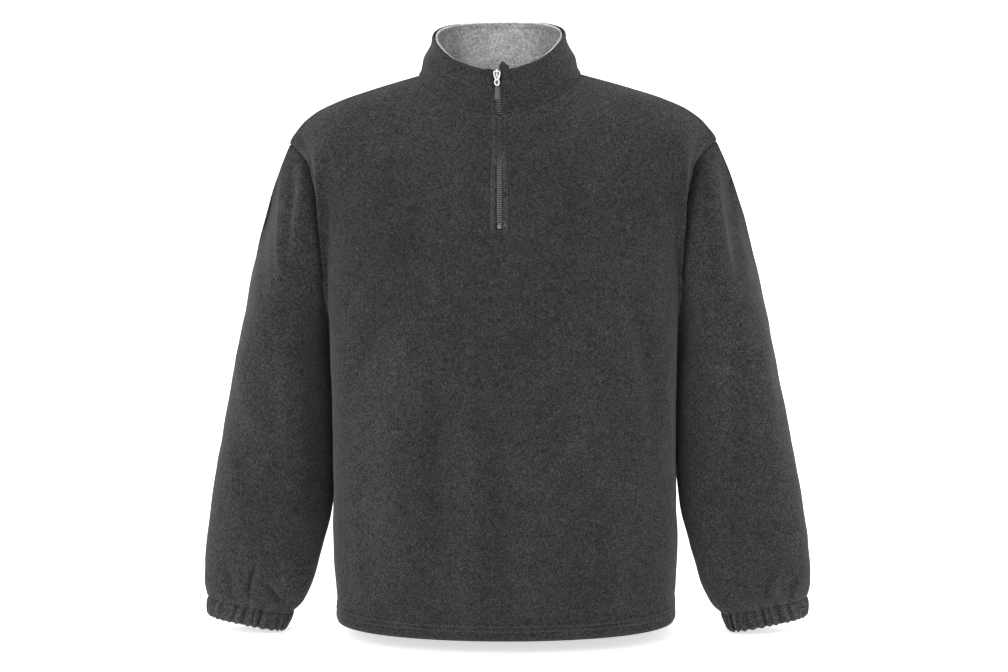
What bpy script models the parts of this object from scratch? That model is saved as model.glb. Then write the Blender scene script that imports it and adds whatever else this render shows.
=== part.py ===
"""Quarter-zip fleece pullover, filled out as if worn, with no wearer.

Every cut piece is a cloth wall of its own: front, back, two sleeves, two elastic cuffs, and an
outer and a lighter inner collar. The zip is two tapes, a chain, a bottom stop, a slider and a
pull tab that swings on the slider's bail.

Frame, in metres: +Z is up, the front faces -Y, +X is on the right of a viewer who faces the
front. The origin lies midway between the two points where collar and shoulder seams meet.
"""

import math

import bpy
import numpy as np

# --- cloth --------------------------------------------------------------------------------------
WALL = 0.0024  # one layer of fleece
DOUBLE_WALL = 0.0044  # turned-up hem and elastic casing
SEAM_GAP = 0.0003  # left between two pieces that are sewn together
PULL_IN = SEAM_GAP / 2
FOLD_PULL_IN = 0.0012  # more where a sleeve folds back on the panels
MITRE_LIMIT = 0.6
RIM_ORDER = (0.05, 0.35, 1.0)  # which end of a rim counts as the lower one
ARMHOLE_LEAN = 0.7  # weight of the direction away from the armhole, where panel and sleeve fold together

# --- torso below the armholes: a row for each section, hem first --------------------------------
TORSO = {
    "level": (0.0, 0.07, 0.20, 0.50, 0.78, 1.0),
    "side_z": (-0.697, -0.673, -0.622, -0.515, -0.420, -0.345),
    "half_width": (0.2195, 0.2185, 0.2215, 0.2200, 0.2200, 0.2215),
    "front_depth": (0.134, 0.135, 0.136, 0.138, 0.138, 0.134),
    "back_depth": (0.124, 0.125, 0.126, 0.122, 0.124, 0.128),
    "front_dip": (-0.0055, -0.0055, -0.005, -0.003, -0.001, 0.0),
    "back_dip": (-0.004, -0.004, -0.003, -0.002, 0.0, 0.0),
}
FRONT_POWER, FRONT_FLAT = 4.6, 0.70  # squareness of the side fold, share of depth that is flat
BACK_POWER, BACK_FLAT = 3.2, 0.62
SIDE_Y = 0.004  # side seams lie a little behind the middle

# --- shoulder and neckline ----------------------------------------------------------------------
# The ridge line runs over the top of both shoulders. Its outer part is the shoulder seam, and
# the part inside the neckline is only a guide, which the neckline cuts away.
RIDGE = {
    "share": (0.0, 0.15, 0.30, 0.545, 0.72, 0.846, 0.93, 1.0),
    "x": (0.0, 0.053, 0.103, 0.165, 0.208, 0.239, 0.2585, 0.2705),
    "y": (0.0, 0.002, 0.004, -0.003, -0.005, -0.003, 0.0, 0.002),
    "z": (0.021, 0.011, -0.003, -0.021, -0.0355, -0.0505, -0.067, -0.088),
}
NECK_SHARE = 0.30  # share of a panel's columns, centre to side, that end on the neckline
NECK_RISE_FRONT, NECK_RISE_BACK = 0.70, 0.80  # how far up the centre columns the neckline lies
NECK_ROUNDNESS = 1.75
NECK_SHIFT = -0.003  # the neck sits a little to one side, as on most worn garments

# --- directions of the panels' columns where they leave the underarm level and reach the top ----
ARRIVE_FRONT = {
    "share": (0.0, 0.30, 0.60, 0.85, 1.0),
    "x": (0.0, 0.0, 0.01, 0.08, 0.200),
    "y": (0.25, 0.25, 0.25, 0.24, 0.200),
    "z": (0.10, 0.09, 0.09, 0.10, 0.120),
}
ARRIVE_BACK = {
    "share": (0.0, 0.30, 0.60, 0.85, 1.0),
    "x": (0.0, 0.0, 0.01, 0.08, 0.200),
    "y": (-0.27, -0.27, -0.27, -0.26, -0.220),
    "z": (0.10, 0.10, 0.10, 0.10, 0.120),
}
RISE, RISE_AT_SEAM = 0.33, 0.17  # upward pull at the underarm level, centre and armhole
ARMHOLE_REACH_FRONT, ARMHOLE_REACH_BACK = 0.17, 0.24
ARMHOLE_TIGHTNESS = 5
PANEL_LEVELS = (0.0, 0.065, 0.080, 0.32, 0.56, 0.80)
ROWS_BELOW_SLIT, ROWS_ABOVE_SLIT = 5, 8  # from the underarm to the zip's lower end, and from there up
HEM_ROWS = 2  # rows of the grid in the turned-up hem
NECK_STEPS_FRONT, NECK_STEPS_BACK, SHOULDER_STEPS = 7, 6, 8
SHARP_ANGLE = 50
KEY_CELL, KEY_SHIFT = 0.00005, 0.37  # points in one cell of this size count as the same point

# --- the soft fold of the front panel that hides the armhole seam -------------------------------
FOLD_SHARE, FOLD_WIDTH = 0.90, 0.07
FOLD_OUT, FOLD_FORWARD = 0.007, 0.010

# --- sleeve: a row for each section below the armhole, in the right sleeve's plane --------------
SLEEVE = {
    "level": (0.0, 0.28, 0.52, 0.72, 0.88, 0.955, 1.0),
    "z": (-0.385, -0.474, -0.550, -0.612, -0.656, -0.6755, -0.6835),
    "inner_x": (0.2222, 0.2212, 0.2262, 0.2425, 0.2570, 0.2690, 0.2790),
    "outer_x": (0.3515, 0.3690, 0.3820, 0.3905, 0.3935, 0.3925, 0.3895),
    "centre_y": (0.008, 0.004, -0.003, -0.008, -0.010, -0.010, -0.010),
    "half_depth": (0.078, 0.072, 0.063, 0.053, 0.043, 0.0355, 0.0310),
    "tilt": (1.0, 3.0, 5.0, 7.0, 9.0, 11.0, 12.0),
    "power": (2.3, 2.3, 2.3, 2.4, 2.7, 3.1, 3.6),  # squareness of the section
}
SLEEVE_LEAVE = {  # direction and pull of the sleeve where it leaves the armhole, by ring share
    "share": (0.0, 0.08, 0.25, 0.42, 0.50, 0.58, 0.75, 0.92, 1.0),
    "x": (0.012, 0.060, 0.140, 0.130, 0.115, 0.130, 0.130, 0.060, 0.012),
    "y": (0.0, -0.020, -0.060, -0.030, 0.0, 0.030, 0.060, 0.020, 0.0),
    "z": (-0.030, -0.040, -0.090, -0.180, -0.220, -0.180, -0.090, -0.040, -0.030),
}
SLEEVE_SETTLE = 0.26  # downward pull where the cap runs into the upper arm section
SETTLE_REACH = 1.1  # the most it may be, as a share of the height it has to cover
SLEEVE_SPLAY = 0.19  # outward share of that pull, at the outside of the arm
SLEEVE_FALLS = (0.0, 0.12, 0.26, 0.42, 0.60, 0.80)
SLEEVE_LEVELS = (0.0, 0.18, 0.36, 0.54, 0.72, 0.85, 0.955, 1.0)

# --- cuff ---------------------------------------------------------------------------------------
CUFF_HEIGHT = 0.0265
CUFF_NARROWER = 0.91
CUFF_PARTS = (0.0, 0.15, 0.85, 1.0)
CUFF_COLUMNS = 48
GATHERS = 12
GATHER_DEPTH = 0.0011

# --- collar -------------------------------------------------------------------------------------
COLLAR_TOP = {  # the top edge, by angle from the centre front round to the centre back
    "angle": (0.0, 12.0, 35.0, 65.0, 90.0, 120.0, 150.0, 168.0, 180.0),
    "x": (0.0, 0.0175, 0.0490, 0.0755, 0.0815, 0.0680, 0.0400, 0.0165, 0.0),
    "y": (-0.0740, -0.0732, -0.0622, -0.034, -0.004, 0.034, 0.058, 0.0643, 0.065),
    "z": (0.0030, 0.0042, 0.0140, 0.035, 0.050, 0.060, 0.064, 0.0648, 0.065),
}
COLLAR_LEAN = {  # how the collar leaves its seam and reaches its top edge: outward and upward
    "angle": (0.0, 45.0, 90.0, 135.0, 180.0),
    "leave_out": (-0.010, -0.025, -0.040, -0.025, -0.010),
    "leave_up": (0.060, 0.055, 0.045, 0.055, 0.058),
    "arrive_out": (-0.012, -0.016, -0.020, -0.010, -0.004),
    "arrive_up": (0.058, 0.058, 0.060, 0.058, 0.056),
}
COLLAR_HEIGHTS = (0.0, 0.22, 0.5, 0.78, 1.0)
INNER_HEIGHTS = (0.06, 0.22, 0.5, 0.78, 1.0)
INNER_OFFSET = WALL + SEAM_GAP  # the lighter inner collar lies this far inside the outer one
INNER_OFFSET_AT_ZIP = 0.0046  # and stands off further over the zip tapes
INNER_CLEARS_ZIP = (14.0, 40.0)  # degrees from the centre front, fully and not at all
INNER_WALL = 0.0020
INNER_EDGE = 0.0045  # least distance from the middle of the zip to the inner collar
INNER_EDGE_MARGIN = 0.0008

# --- zip ----------------------------------------------------------------------------------------
ZIP_BOTTOM_Z = -0.1915  # bottom of the slit
ZIP_GAP = {  # half the distance between the fabric edges, by height
    "z": (ZIP_BOTTOM_Z, -0.135, -0.112, -0.098, -0.070, -0.050, -0.030, -0.014, -0.004, 0.006),
    "half": (0.0037, 0.0034, 0.0028, 0.0016, 0.0016, 0.0024, 0.0028, 0.0044, 0.0066, 0.0078),
}
SLIT_SHARE = 0.0087  # column that becomes the slit's edge
CHAIN_HALF, CHAIN_DEPTH, CHAIN_BEHIND = 0.0028, 0.0020, WALL + 2 * SEAM_GAP
LINE_STEP = 0.001  # stations lie at least this far apart
CHAIN_CLEARS_SLIDER = 0.0016
PROBE_SHARE, PROBES = 0.06, 13  # columns read to find the one at a given distance
TAPE_COLUMNS = (0.0034, 0.0070, 0.0110, 0.0150)  # from the middle of the zip
TAPE_DEPTH, TAPE_BEHIND = 0.0006, WALL + 0.0010
TAPE_END_RISE = (0.0050, 0.0098, 0.0072, 0.0030)  # the folded end that stands above the collar
STOP_HALF, STOP_HEIGHT, STOP_DEPTH, STOP_BEHIND = 0.0028, 0.0056, 0.0018, 0.0010
STOP_FOOT = 0.0014  # from the bottom of the slit up to the stop

# --- slider, in its own plane: across, up along the zip, and out of the cloth -------------------
ACROSS = np.array([1.0, 0.0, 0.0])
SLIDER_HEIGHT = 0.95  # where along the collar's height the bail's middle lies
SLIDER = {  # half width of the slider's two plates by distance up from the bail's middle
    "up": (-0.0084, -0.0072, -0.0050, 0.0, 0.0016, 0.0026, 0.0032),
    "half": (0.0016, 0.0024, 0.0030, 0.0040, 0.0048, 0.0046, 0.0036),
}
FRONT_PLATE = (-0.0022, 0.0010)  # from and to, out of the cloth is positive
BACK_PLATE = (-0.0062, -0.0050)
POST_HALF, POST_FROM, POST_TO = 0.0020, 0.0008, 0.0028
OVERLAP = 0.0003  # how far one part of the slider runs into the next before they are joined
BAIL_HALF, BAIL_INNER, BAIL_OUTER = 0.0010, 0.00115, 0.00205
HINGE_OUT = FRONT_PLATE[1] + BAIL_INNER
ARC_STEPS = 12

# --- pull: a flat stirrup that hangs in the bail, and a moulded tab below its eye ---------------
PULL = {  # half width of the stirrup by distance up from the hinge axis
    "up": (-0.0180, -0.0176, -0.0165, -0.0148, -0.0124, -0.0100, -0.0040, 0.0, 0.0006),
    "half": (0.0012, 0.0022, 0.0032, 0.0035, 0.0033, 0.0029, 0.0043, 0.0049, 0.0047),
}
PULL_WINDOW = {  # half width of the opening that the bail stands in
    "up": (-0.0094, -0.0060, -0.0006),
    "half": (0.0009, 0.0021, 0.0034),
}
PULL_THICKNESS = 0.0012
PULL_EYE_DOWN, PULL_EYE_HALF, PULL_EYE_TALL = 0.0136, 0.0016, 0.0024
TAB = {  # half width of the tab by distance up from the hinge axis
    "up": (-0.0345, -0.0341, -0.0330, -0.0260, -0.0196, -0.0183),
    "half": (0.0020, 0.0026, 0.0029, 0.0026, 0.0023, 0.0018),
}
TAB_THICKNESS = 0.0018

# --- finishes: colour, roughness, metallic ------------------------------------------------------
FINISHES = {
    "charcoal_fleece": ((0.045, 0.046, 0.049), 0.95, 0.0),
    "grey_heather_fleece": ((0.32, 0.33, 0.34), 0.95, 0.0),
    "dark_tape": ((0.030, 0.031, 0.034), 0.85, 0.0),
    "grey_coil": ((0.25, 0.25, 0.26), 0.45, 0.0),
    "silver_metal": ((0.72, 0.72, 0.72), 0.25, 1.0),
    "grey_moulding": ((0.16, 0.16, 0.17), 0.50, 0.0),
}


def smooth(table, key, column, at):
    """A column of a table read at any place: cubic pieces whose slopes are the table's own."""
    xs = np.asarray(table[key], float)
    ys = np.asarray(table[column], float)
    slopes = np.gradient(ys, xs)
    at = np.clip(np.asarray(at, float), xs[0], xs[-1])
    i = np.clip(np.searchsorted(xs, at, side="right") - 1, 0, len(xs) - 2)
    step = xs[i + 1] - xs[i]
    return hermite(ys[i], slopes[i] * step, ys[i + 1], slopes[i + 1] * step, (at - xs[i]) / step)


def hermite(start, leave, end, arrive, t):
    """Cubic from start to end that leaves and arrives along the given directions."""
    return (
        (2 * t**3 - 3 * t**2 + 1) * start
        + (t**3 - 2 * t**2 + t) * leave
        + (3 * t**2 - 2 * t**3) * end
        + (t**3 - t**2) * arrive
    )


def unit(vectors):
    return vectors / np.maximum(np.linalg.norm(vectors, axis=-1, keepdims=True), 1e-12)


# --- torso panels -------------------------------------------------------------------------------
def outline(share, power, flat):
    """Half a torso section of unit size: a squared ellipse, flattened by a shallow arc."""
    angle = np.abs(share) * math.pi / 2
    radius = (np.sin(angle) ** power + np.cos(angle) ** power) ** (-1 / power)
    across = radius * np.sin(angle)
    depth = flat * radius * np.cos(angle) + (1 - flat) * (1 - across**2)
    return across * np.sign(share), depth


def lower_panel(share, level, front):
    """Points of a panel from the hem (level 0) to the underarm (level 1)."""
    power, flat = (FRONT_POWER, FRONT_FLAT) if front else (BACK_POWER, BACK_FLAT)
    across, depth = outline(share, power, flat)
    side = "front" if front else "back"
    outward = -1.0 if front else 1.0
    x = smooth(TORSO, "level", "half_width", level) * across
    y = SIDE_Y + outward * smooth(TORSO, "level", side + "_depth", level) * depth
    z = smooth(TORSO, "level", "side_z", level)
    z = z + smooth(TORSO, "level", side + "_dip", level) * depth
    return np.stack(np.broadcast_arrays(x, y, z), -1)


def neckline_rise(share, front):
    """How far up its column, 0 underarm to 1 ridge line, a panel is cut off."""
    lowest = NECK_RISE_FRONT if front else NECK_RISE_BACK
    inside = np.clip(1 - (np.abs(share) / NECK_SHARE) ** NECK_ROUNDNESS, 0, 1)
    return 1 - (1 - lowest) * inside ** (1 / NECK_ROUNDNESS)


def upper_panel(share, rise, front):
    """Points of a panel from the underarm (rise 0) to the neckline and shoulder (rise 1)."""
    start = lower_panel(share, np.ones_like(share), front)
    size, sign = np.abs(share), np.sign(share)
    end = np.stack([smooth(RIDGE, "share", axis, size) for axis in "xyz"], -1)
    end[..., 0] *= sign
    rise = rise - (1 - neckline_rise(share, front)) * rise**2
    arrive_table = ARRIVE_FRONT if front else ARRIVE_BACK
    arrive = [smooth(arrive_table, "share", axis, size) for axis in "xyz"]
    arrive = np.stack([arrive[0] * sign, arrive[1], arrive[2]], -1)
    edge = size**ARMHOLE_TIGHTNESS
    reach = -ARMHOLE_REACH_FRONT if front else ARMHOLE_REACH_BACK
    leave = np.stack([0 * size, reach * edge, RISE + (RISE_AT_SEAM - RISE) * edge], -1)
    points = hermite(start, leave, end, arrive, rise[..., None])
    if front:
        fold = np.exp(-(((size - FOLD_SHARE) / FOLD_WIDTH) ** 2)) * np.sin(math.pi * rise) ** 2
        points[..., 0] += sign * FOLD_OUT * fold
        points[..., 1] -= FOLD_FORWARD * fold
    points[..., 0] += NECK_SHIFT * rise**2 * (1 - size**2)
    return points


def panel_rows():
    """Levels below the underarm and rises above it. Both panels share them, so seams match."""
    rise = np.linspace(0, 1, 201)
    heights = upper_panel(0 * rise, rise, True)[:, 2]
    slit = float(np.interp(ZIP_BOTTOM_Z, heights, rise))
    below = np.linspace(0, slit, ROWS_BELOW_SLIT)
    rises = np.concatenate([below, np.linspace(slit, 1, ROWS_ABOVE_SLIT)[1:]])
    return np.array(PANEL_LEVELS), rises, len(PANEL_LEVELS) + ROWS_BELOW_SLIT - 1


def panel_grid(shares, front):
    levels, rises, slit_row = panel_rows()
    low = lower_panel(shares[None, :], levels[:, None], front)
    wide = np.broadcast_to(shares, (len(rises), len(shares)))
    high = upper_panel(wide, np.broadcast_to(rises[:, None], wide.shape), front)
    grid = np.concatenate([low, high])
    if front:
        centre = len(shares) // 2
        for column, side in ((centre - 1, -1), (centre, 1)):
            slit = grid[slit_row:]
            middle = slit[:, centre - 1 : centre + 1, 0].mean(1)
            grid[slit_row:, column, 0] = middle + side * smooth(
                ZIP_GAP, "z", "half", slit[:, column, 2]
            )
    return grid


def panel_shares(neck_steps, front):
    """Columns of a panel in the order that makes its outside face outwards."""
    neck = NECK_SHARE * np.sin(np.linspace(0, math.pi / 2, neck_steps + 1))
    along = np.linspace(0, 1, SHOULDER_STEPS + 1)[1:]
    half = np.concatenate([neck, NECK_SHARE + (1 - NECK_SHARE) * along])
    if front:
        half[0] = SLIT_SHARE
        return np.concatenate([-half[::-1], half])
    return np.concatenate([half[::-1], -half[1:]])


# --- grids and walls ----------------------------------------------------------------------------
def grid_normals(grid, closed=False):
    """Outward unit normals of a grid whose rows run up and whose columns run anticlockwise."""
    if closed:
        ring = np.concatenate([grid[:, -2:-1], grid, grid[:, 1:2]], 1)
        along = np.gradient(ring, axis=1)[:, 1:-1]
    else:
        along = np.gradient(grid, axis=1)
    return unit(np.cross(along, np.gradient(grid, axis=0)))


def grid_quads(rows, columns):
    index = np.arange(rows * columns).reshape(rows, columns)
    return np.stack([index[:-1, :-1], index[:-1, 1:], index[1:, 1:], index[1:, :-1]], -1)


def place_keys(points):
    """A whole-number key for each point, the same for points that lie together."""
    cells = np.floor(points.reshape(-1, 3) / KEY_CELL + KEY_SHIFT).astype(int)
    return [tuple(cell) for cell in cells.tolist()]


class SeamDirections:
    """The wall direction at each point: the mean normal of all the pieces that meet there."""

    def __init__(self):
        self.sums = {}

    def add(self, grid, normals):
        own = dict(zip(place_keys(grid), normals.reshape(-1, 3)))
        for key, normal in own.items():
            self.sums[key] = self.sums.get(key, 0) + normal

    def lean(self, points, directions):
        """Adds a direction to points where the pieces nearly face each other."""
        for key, direction in zip(place_keys(points), directions):
            self.sums[key] = self.sums[key] + direction

    def set(self, points, directions):
        for key, direction in zip(place_keys(points), directions):
            self.sums[key] = direction

    def offsets(self, grid, normals, thickness):
        """Inward steps from a piece's outer skin to its inner skin, longer at mitred seams."""
        shared = np.array([self.sums[key] for key in place_keys(grid)])
        shared = unit(shared).reshape(grid.shape)
        facing = np.clip(np.sum(shared * normals, -1, keepdims=True), MITRE_LIMIT, 1)
        return -shared * np.reshape(thickness, (-1, 1, 1)) / facing


def pull_back(edge, inner, steps, distance):
    """Moves an edge towards its own piece, square to the seam and to the wall's own step."""
    along = unit(np.gradient(edge, axis=0))
    across = unit(np.cross(along, steps))
    return edge + across * np.sign(np.sum(across * (inner - edge), -1, keepdims=True)) * distance


def wall(name, grid, offsets, finish, quads=None, closed=False, falling=True):
    """A closed wall: outer skin on the grid, inner skin at grid + offsets, and the rims.

    Both skins are cut into triangles along the same diagonals, falling or rising, and a rim along
    a diagonal that depends only on where it lies, so that pieces that meet stay parallel.
    """
    rows, columns = grid.shape[:2]
    quads = grid_quads(rows, columns) if quads is None else quads
    quads = quads.reshape(-1, 4)
    if closed:
        quads = np.where(quads % columns == columns - 1, quads - columns + 1, quads)
    count = rows * columns
    points = np.concatenate([grid.reshape(-1, 3), (grid + offsets).reshape(-1, 3)])
    falling = np.broadcast_to(falling, len(quads))[:, None]
    skin = np.concatenate(
        [
            np.where(falling, quads[:, [0, 1, 2]], quads[:, [0, 1, 3]]),
            np.where(falling, quads[:, [0, 2, 3]], quads[:, [1, 2, 3]]),
        ]
    )
    edges = {(int(q[i]), int(q[(i + 1) % 4])) for q in quads for i in range(4)}
    height = points[:count] @ np.array(RIM_ORDER)
    rims = []
    for a, b in sorted(edge for edge in edges if edge[::-1] not in edges):
        if height[a] < height[b]:
            rims += [(b, a, b + count), (a, a + count, b + count)]
        else:
            rims += [(b, a, a + count), (b, a + count, b + count)]
    faces = skin.tolist() + (skin[:, ::-1] + count).tolist() + rims
    return add_object(name, points, faces, finish)


def add_object(name, points, faces, finish):
    """An object from points and faces, without the points that no face uses."""
    used = sorted({int(i) for face in faces for i in face})
    place = {old: new for new, old in enumerate(used)}
    mesh = bpy.data.meshes.new(name)
    mesh.from_pydata(
        np.asarray(points)[used].tolist(), [], [[place[int(i)] for i in face] for face in faces]
    )
    mesh.update()
    mesh.materials.append(finish)
    mesh.shade_smooth()
    mesh.set_sharp_from_angle(angle=math.radians(SHARP_ANGLE))
    piece = bpy.data.objects.new(name, mesh)
    bpy.context.scene.collection.objects.link(piece)
    return piece


def material(name, colour, roughness, metallic=0.0):
    made = bpy.data.materials.new(name)
    made.use_nodes = True
    shader = made.node_tree.nodes["Principled BSDF"]
    shader.inputs["Base Color"].default_value = (*colour, 1.0)
    shader.inputs["Roughness"].default_value = roughness
    shader.inputs["Metallic"].default_value = metallic
    return made


# --- sleeves ------------------------------------------------------------------------------------
def sleeve_section(share, level):
    """Points of a sleeve section. Share 0 is nearest the body, 0.25 front, 0.5 outside."""
    angle = 2 * math.pi * share
    inner = smooth(SLEEVE, "level", "inner_x", level)
    outer = smooth(SLEEVE, "level", "outer_x", level)
    power = smooth(SLEEVE, "level", "power", level)
    radius = (np.abs(np.cos(angle)) ** power + np.abs(np.sin(angle)) ** power) ** (-1 / power)
    across = -(outer - inner) / 2 * radius * np.cos(angle)
    depth = smooth(SLEEVE, "level", "half_depth", level)
    y = smooth(SLEEVE, "level", "centre_y", level) - depth * radius * np.sin(angle)
    tilt = np.tan(np.radians(smooth(SLEEVE, "level", "tilt", level)))
    z = smooth(SLEEVE, "level", "z", level) + across * tilt
    return np.stack(np.broadcast_arrays((inner + outer) / 2 + across, y, z), -1)


def sleeve_cap(armhole, share, fall):
    """Points between the armhole ring (fall 0) and the upper arm section (fall 1)."""
    end = sleeve_section(share, 0 * share)
    leave = np.stack([smooth(SLEEVE_LEAVE, "share", axis, share) for axis in "xyz"], -1)
    settle = np.minimum(SLEEVE_SETTLE, SETTLE_REACH * np.abs(armhole[:, 2] - end[:, 2]))
    splay = SLEEVE_SPLAY * settle * np.sin(math.pi * share) ** 2
    down = np.stack([splay, 0 * share, -settle], -1)
    return hermite(armhole, leave, end, down, fall[:, None, None])


def sleeve_grid(armhole):
    share = np.linspace(0, 1, len(armhole))
    cap = sleeve_cap(armhole, share, np.array(SLEEVE_FALLS))
    arm = sleeve_section(share[None, :], np.array(SLEEVE_LEVELS)[:, None])
    grid = np.concatenate([cap, arm])
    grid[:, -1] = grid[:, 0]
    return grid[::-1]


def cuff_grid():
    """The sleeve's last section carried down its slant, narrower below, in even gathers."""
    share = np.linspace(0, 1, CUFF_COLUMNS + 1)
    part = np.array(CUFF_PARTS)[:, None, None]
    top = sleeve_section(share, np.ones_like(share))
    middle = (top.min(0) + top.max(0)) / 2
    spoke = top - middle
    tilt = math.radians(SLEEVE["tilt"][-1])
    down = np.array([math.sin(tilt), 0.0, -math.cos(tilt)])
    wave = np.cos(2 * math.pi * GATHERS * share)[:, None]
    wave = GATHER_DEPTH * wave / np.linalg.norm(spoke, axis=1, keepdims=True)
    size = 1 - (1 - CUFF_NARROWER) * part**2
    size = size * (1 + np.sqrt(np.sin(math.pi * part).clip(0)) * wave)
    grid = middle + down * CUFF_HEIGHT * part + spoke * size
    grid[:, -1] = grid[:, 0]
    return grid[::-1]


# --- collar -------------------------------------------------------------------------------------
def collar_surface(angle, height):
    """Points of the collar: angle in degrees, 0 centre front, 90 right side, 180 centre back."""
    size = np.minimum(angle, 360 - angle)
    side = np.where(angle < 180, 1.0, -1.0)
    share = side * NECK_SHARE * np.sin(np.radians(size))
    whole = np.ones_like(share)
    base = np.where(
        (size < 90)[..., None], upper_panel(share, whole, True), upper_panel(share, whole, False)
    )
    top = [smooth(COLLAR_TOP, "angle", axis, size) for axis in "xyz"]
    top = np.stack([top[0] * side + NECK_SHIFT, top[1], top[2]], -1)
    lean = {name: smooth(COLLAR_LEAN, "angle", name, size) for name in COLLAR_LEAN}
    turn = np.radians(size)
    out = np.stack([side * np.sin(turn), -np.cos(turn), 0 * turn], -1)
    up = np.array([0.0, 0.0, 1.0])
    leave = out * lean["leave_out"][..., None] + up * lean["leave_up"][..., None]
    arrive = out * lean["arrive_out"][..., None] + up * lean["arrive_up"][..., None]
    height = np.asarray(height)[..., None]
    beyond = np.maximum(height - 1, 0)
    return hermite(base, leave, top, arrive, height - beyond) + beyond * arrive


def collar_angles():
    """Column angles of the outer collar: those of the two panels' neckline columns."""
    front = np.linspace(0, 90, NECK_STEPS_FRONT + 1)
    front[0] = math.degrees(math.asin(SLIT_SHARE / NECK_SHARE))
    behind = np.linspace(90, 270, 2 * NECK_STEPS_BACK + 1)
    return np.concatenate([front[:-1], behind, 360 - front[:-1][::-1]])


def collar_grid(angles, heights, least_half=0.0, margin=0.0):
    """A collar grid whose front edges follow the gap over the zip."""
    wide = np.broadcast_to(angles, (len(heights), len(angles)))
    tall = np.broadcast_to(np.asarray(heights)[:, None], wide.shape)
    grid = collar_surface(wide, tall)
    middle = collar_surface(0 * np.asarray(heights), np.asarray(heights))[:, 0]
    for column, side in ((0, 1), (-1, -1)):
        half = smooth(ZIP_GAP, "z", "half", grid[:, column, 2]) + margin
        grid[:, column, 0] = middle + side * np.maximum(half, least_half)
    return grid


# --- zip ----------------------------------------------------------------------------------------
def panel_row(share, rise):
    return upper_panel(share, rise, True)


def collar_row(share, height):
    return collar_surface(np.degrees(np.arcsin(share / NECK_SHARE)) % 360, height)


def zip_row(surface, place, columns):
    """Points of one row of the cloth over the zip, at the given distances from its middle."""
    probes = np.linspace(-PROBE_SHARE, PROBE_SHARE, PROBES)
    across = surface(probes, np.full(PROBES, min(np.min(place), 1.0)))[:, 0]
    shares = np.interp(columns + across[PROBES // 2], across, probes)
    return surface(shares, np.broadcast_to(place, shares.shape))


def zip_sheet(columns, end_rise=None):
    """Points and normals of the cloth over the zip, by distance from its middle, going up."""
    columns = np.asarray(columns, float)
    _, rises, slit_row = panel_rows()
    rows = [(panel_row, rise) for rise in rises[slit_row - len(PANEL_LEVELS) :]]
    rows += [(collar_row, height) for height in COLLAR_HEIGHTS[1:]]
    if end_rise is not None:
        rows.append((collar_row, 1 + np.asarray(end_rise) / COLLAR_LEAN["arrive_up"][0]))
    grid = np.array([zip_row(surface, place, columns) for surface, place in rows])
    return grid, grid_normals(grid)


def zip_tape(name, side, finish):
    """One tape, made from the cloth's own points moved in. The right one ends above the collar."""
    columns = np.array(TAPE_COLUMNS) if side > 0 else -np.array(TAPE_COLUMNS[::-1])
    grid, normals = zip_sheet(columns, TAPE_END_RISE if side > 0 else None)
    return wall(name, grid - normals * TAPE_BEHIND, -normals * TAPE_DEPTH, finish)


def centre_line():
    """Points and normals of the cloth along the middle of the zip, and how far up each lies."""
    grid, normals = zip_sheet((-TAPE_COLUMNS[0], 0.0, TAPE_COLUMNS[0]))
    steps = np.linalg.norm(np.diff(grid[:, 1], axis=0), axis=1)
    return grid[:, 1], normals[:, 1], np.concatenate([[0], np.cumsum(steps)])


def along_line(line, distance):
    """Point and outward direction at a distance along the centre line."""
    points, normals, travelled = line
    columns = np.concatenate([points, normals], 1).T
    read = np.array([np.interp(distance, travelled, column) for column in columns])
    return read[:3], read[3:]


def bar_along(name, stations, half, behind, depth, finish):
    """A bar of rectangular section whose stations are (point, outward) along the zip."""
    corners = ((-1, 0), (1, 0), (1, 1), (-1, 1))
    rings = [
        [point + ACROSS * half * a - outward * (behind + depth * b) for a, b in corners]
        for point, outward in stations
    ]
    count = len(rings)
    faces = [
        (4 * i + k, 4 * i + (k + 1) % 4, 4 * i + 4 + (k + 1) % 4, 4 * i + 4 + k)
        for i in range(count - 1)
        for k in range(4)
    ]
    faces += [(3, 2, 1, 0), tuple(4 * count - 4 + k for k in range(4))]
    return add_object(name, np.array(rings).reshape(-1, 3), faces, finish)


def zip_chain(line, foot, top, finish):
    """The closed coil, behind the cloth, with a station at each point of the centre line."""
    inside = line[2][(line[2] > foot + LINE_STEP) & (line[2] < top - LINE_STEP)]
    stations = [along_line(line, place) for place in (foot, *inside, top)]
    return bar_along("zip_chain", stations, CHAIN_HALF, CHAIN_BEHIND, CHAIN_DEPTH, finish)


# --- slider and pull ----------------------------------------------------------------------------
def prism(name, corners, low, high, place, axes, finish):
    """A straight prism: corners in the first two axes, from low to high along the third."""
    axes = np.array(axes, float)
    corners = np.array(corners, float)
    count = len(corners)
    points = [c[0] * axes[0] + c[1] * axes[1] + h * axes[2] for h in (low, high) for c in corners]
    faces = [tuple(range(count))[::-1], tuple(range(count, 2 * count))]
    faces += [(i, (i + 1) % count, (i + 1) % count + count, i + count) for i in range(count)]
    piece = add_object(name, np.array(points), faces, finish)
    piece.location = place
    return piece


def symmetric(table):
    """Corners of an outline, anticlockwise, from its half widths going up."""
    right = list(zip(table["half"], table["up"]))
    return right + [(-half, up) for half, up in reversed(right)]


def oval(half, tall, up, steps):
    turns = np.linspace(0, 2 * math.pi, steps, endpoint=False)
    return [(half * math.cos(turn), up + tall * math.sin(turn)) for turn in turns]


def combine(piece, others, operation):
    """Adds or cuts other objects with Boolean modifiers and keeps them as hidden guides."""
    for other in others:
        change = piece.modifiers.new(other.name, "BOOLEAN")
        change.operation = operation
        change.object = other
        other.hide_render = True
        other.display_type = "WIRE"
    return piece


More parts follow.
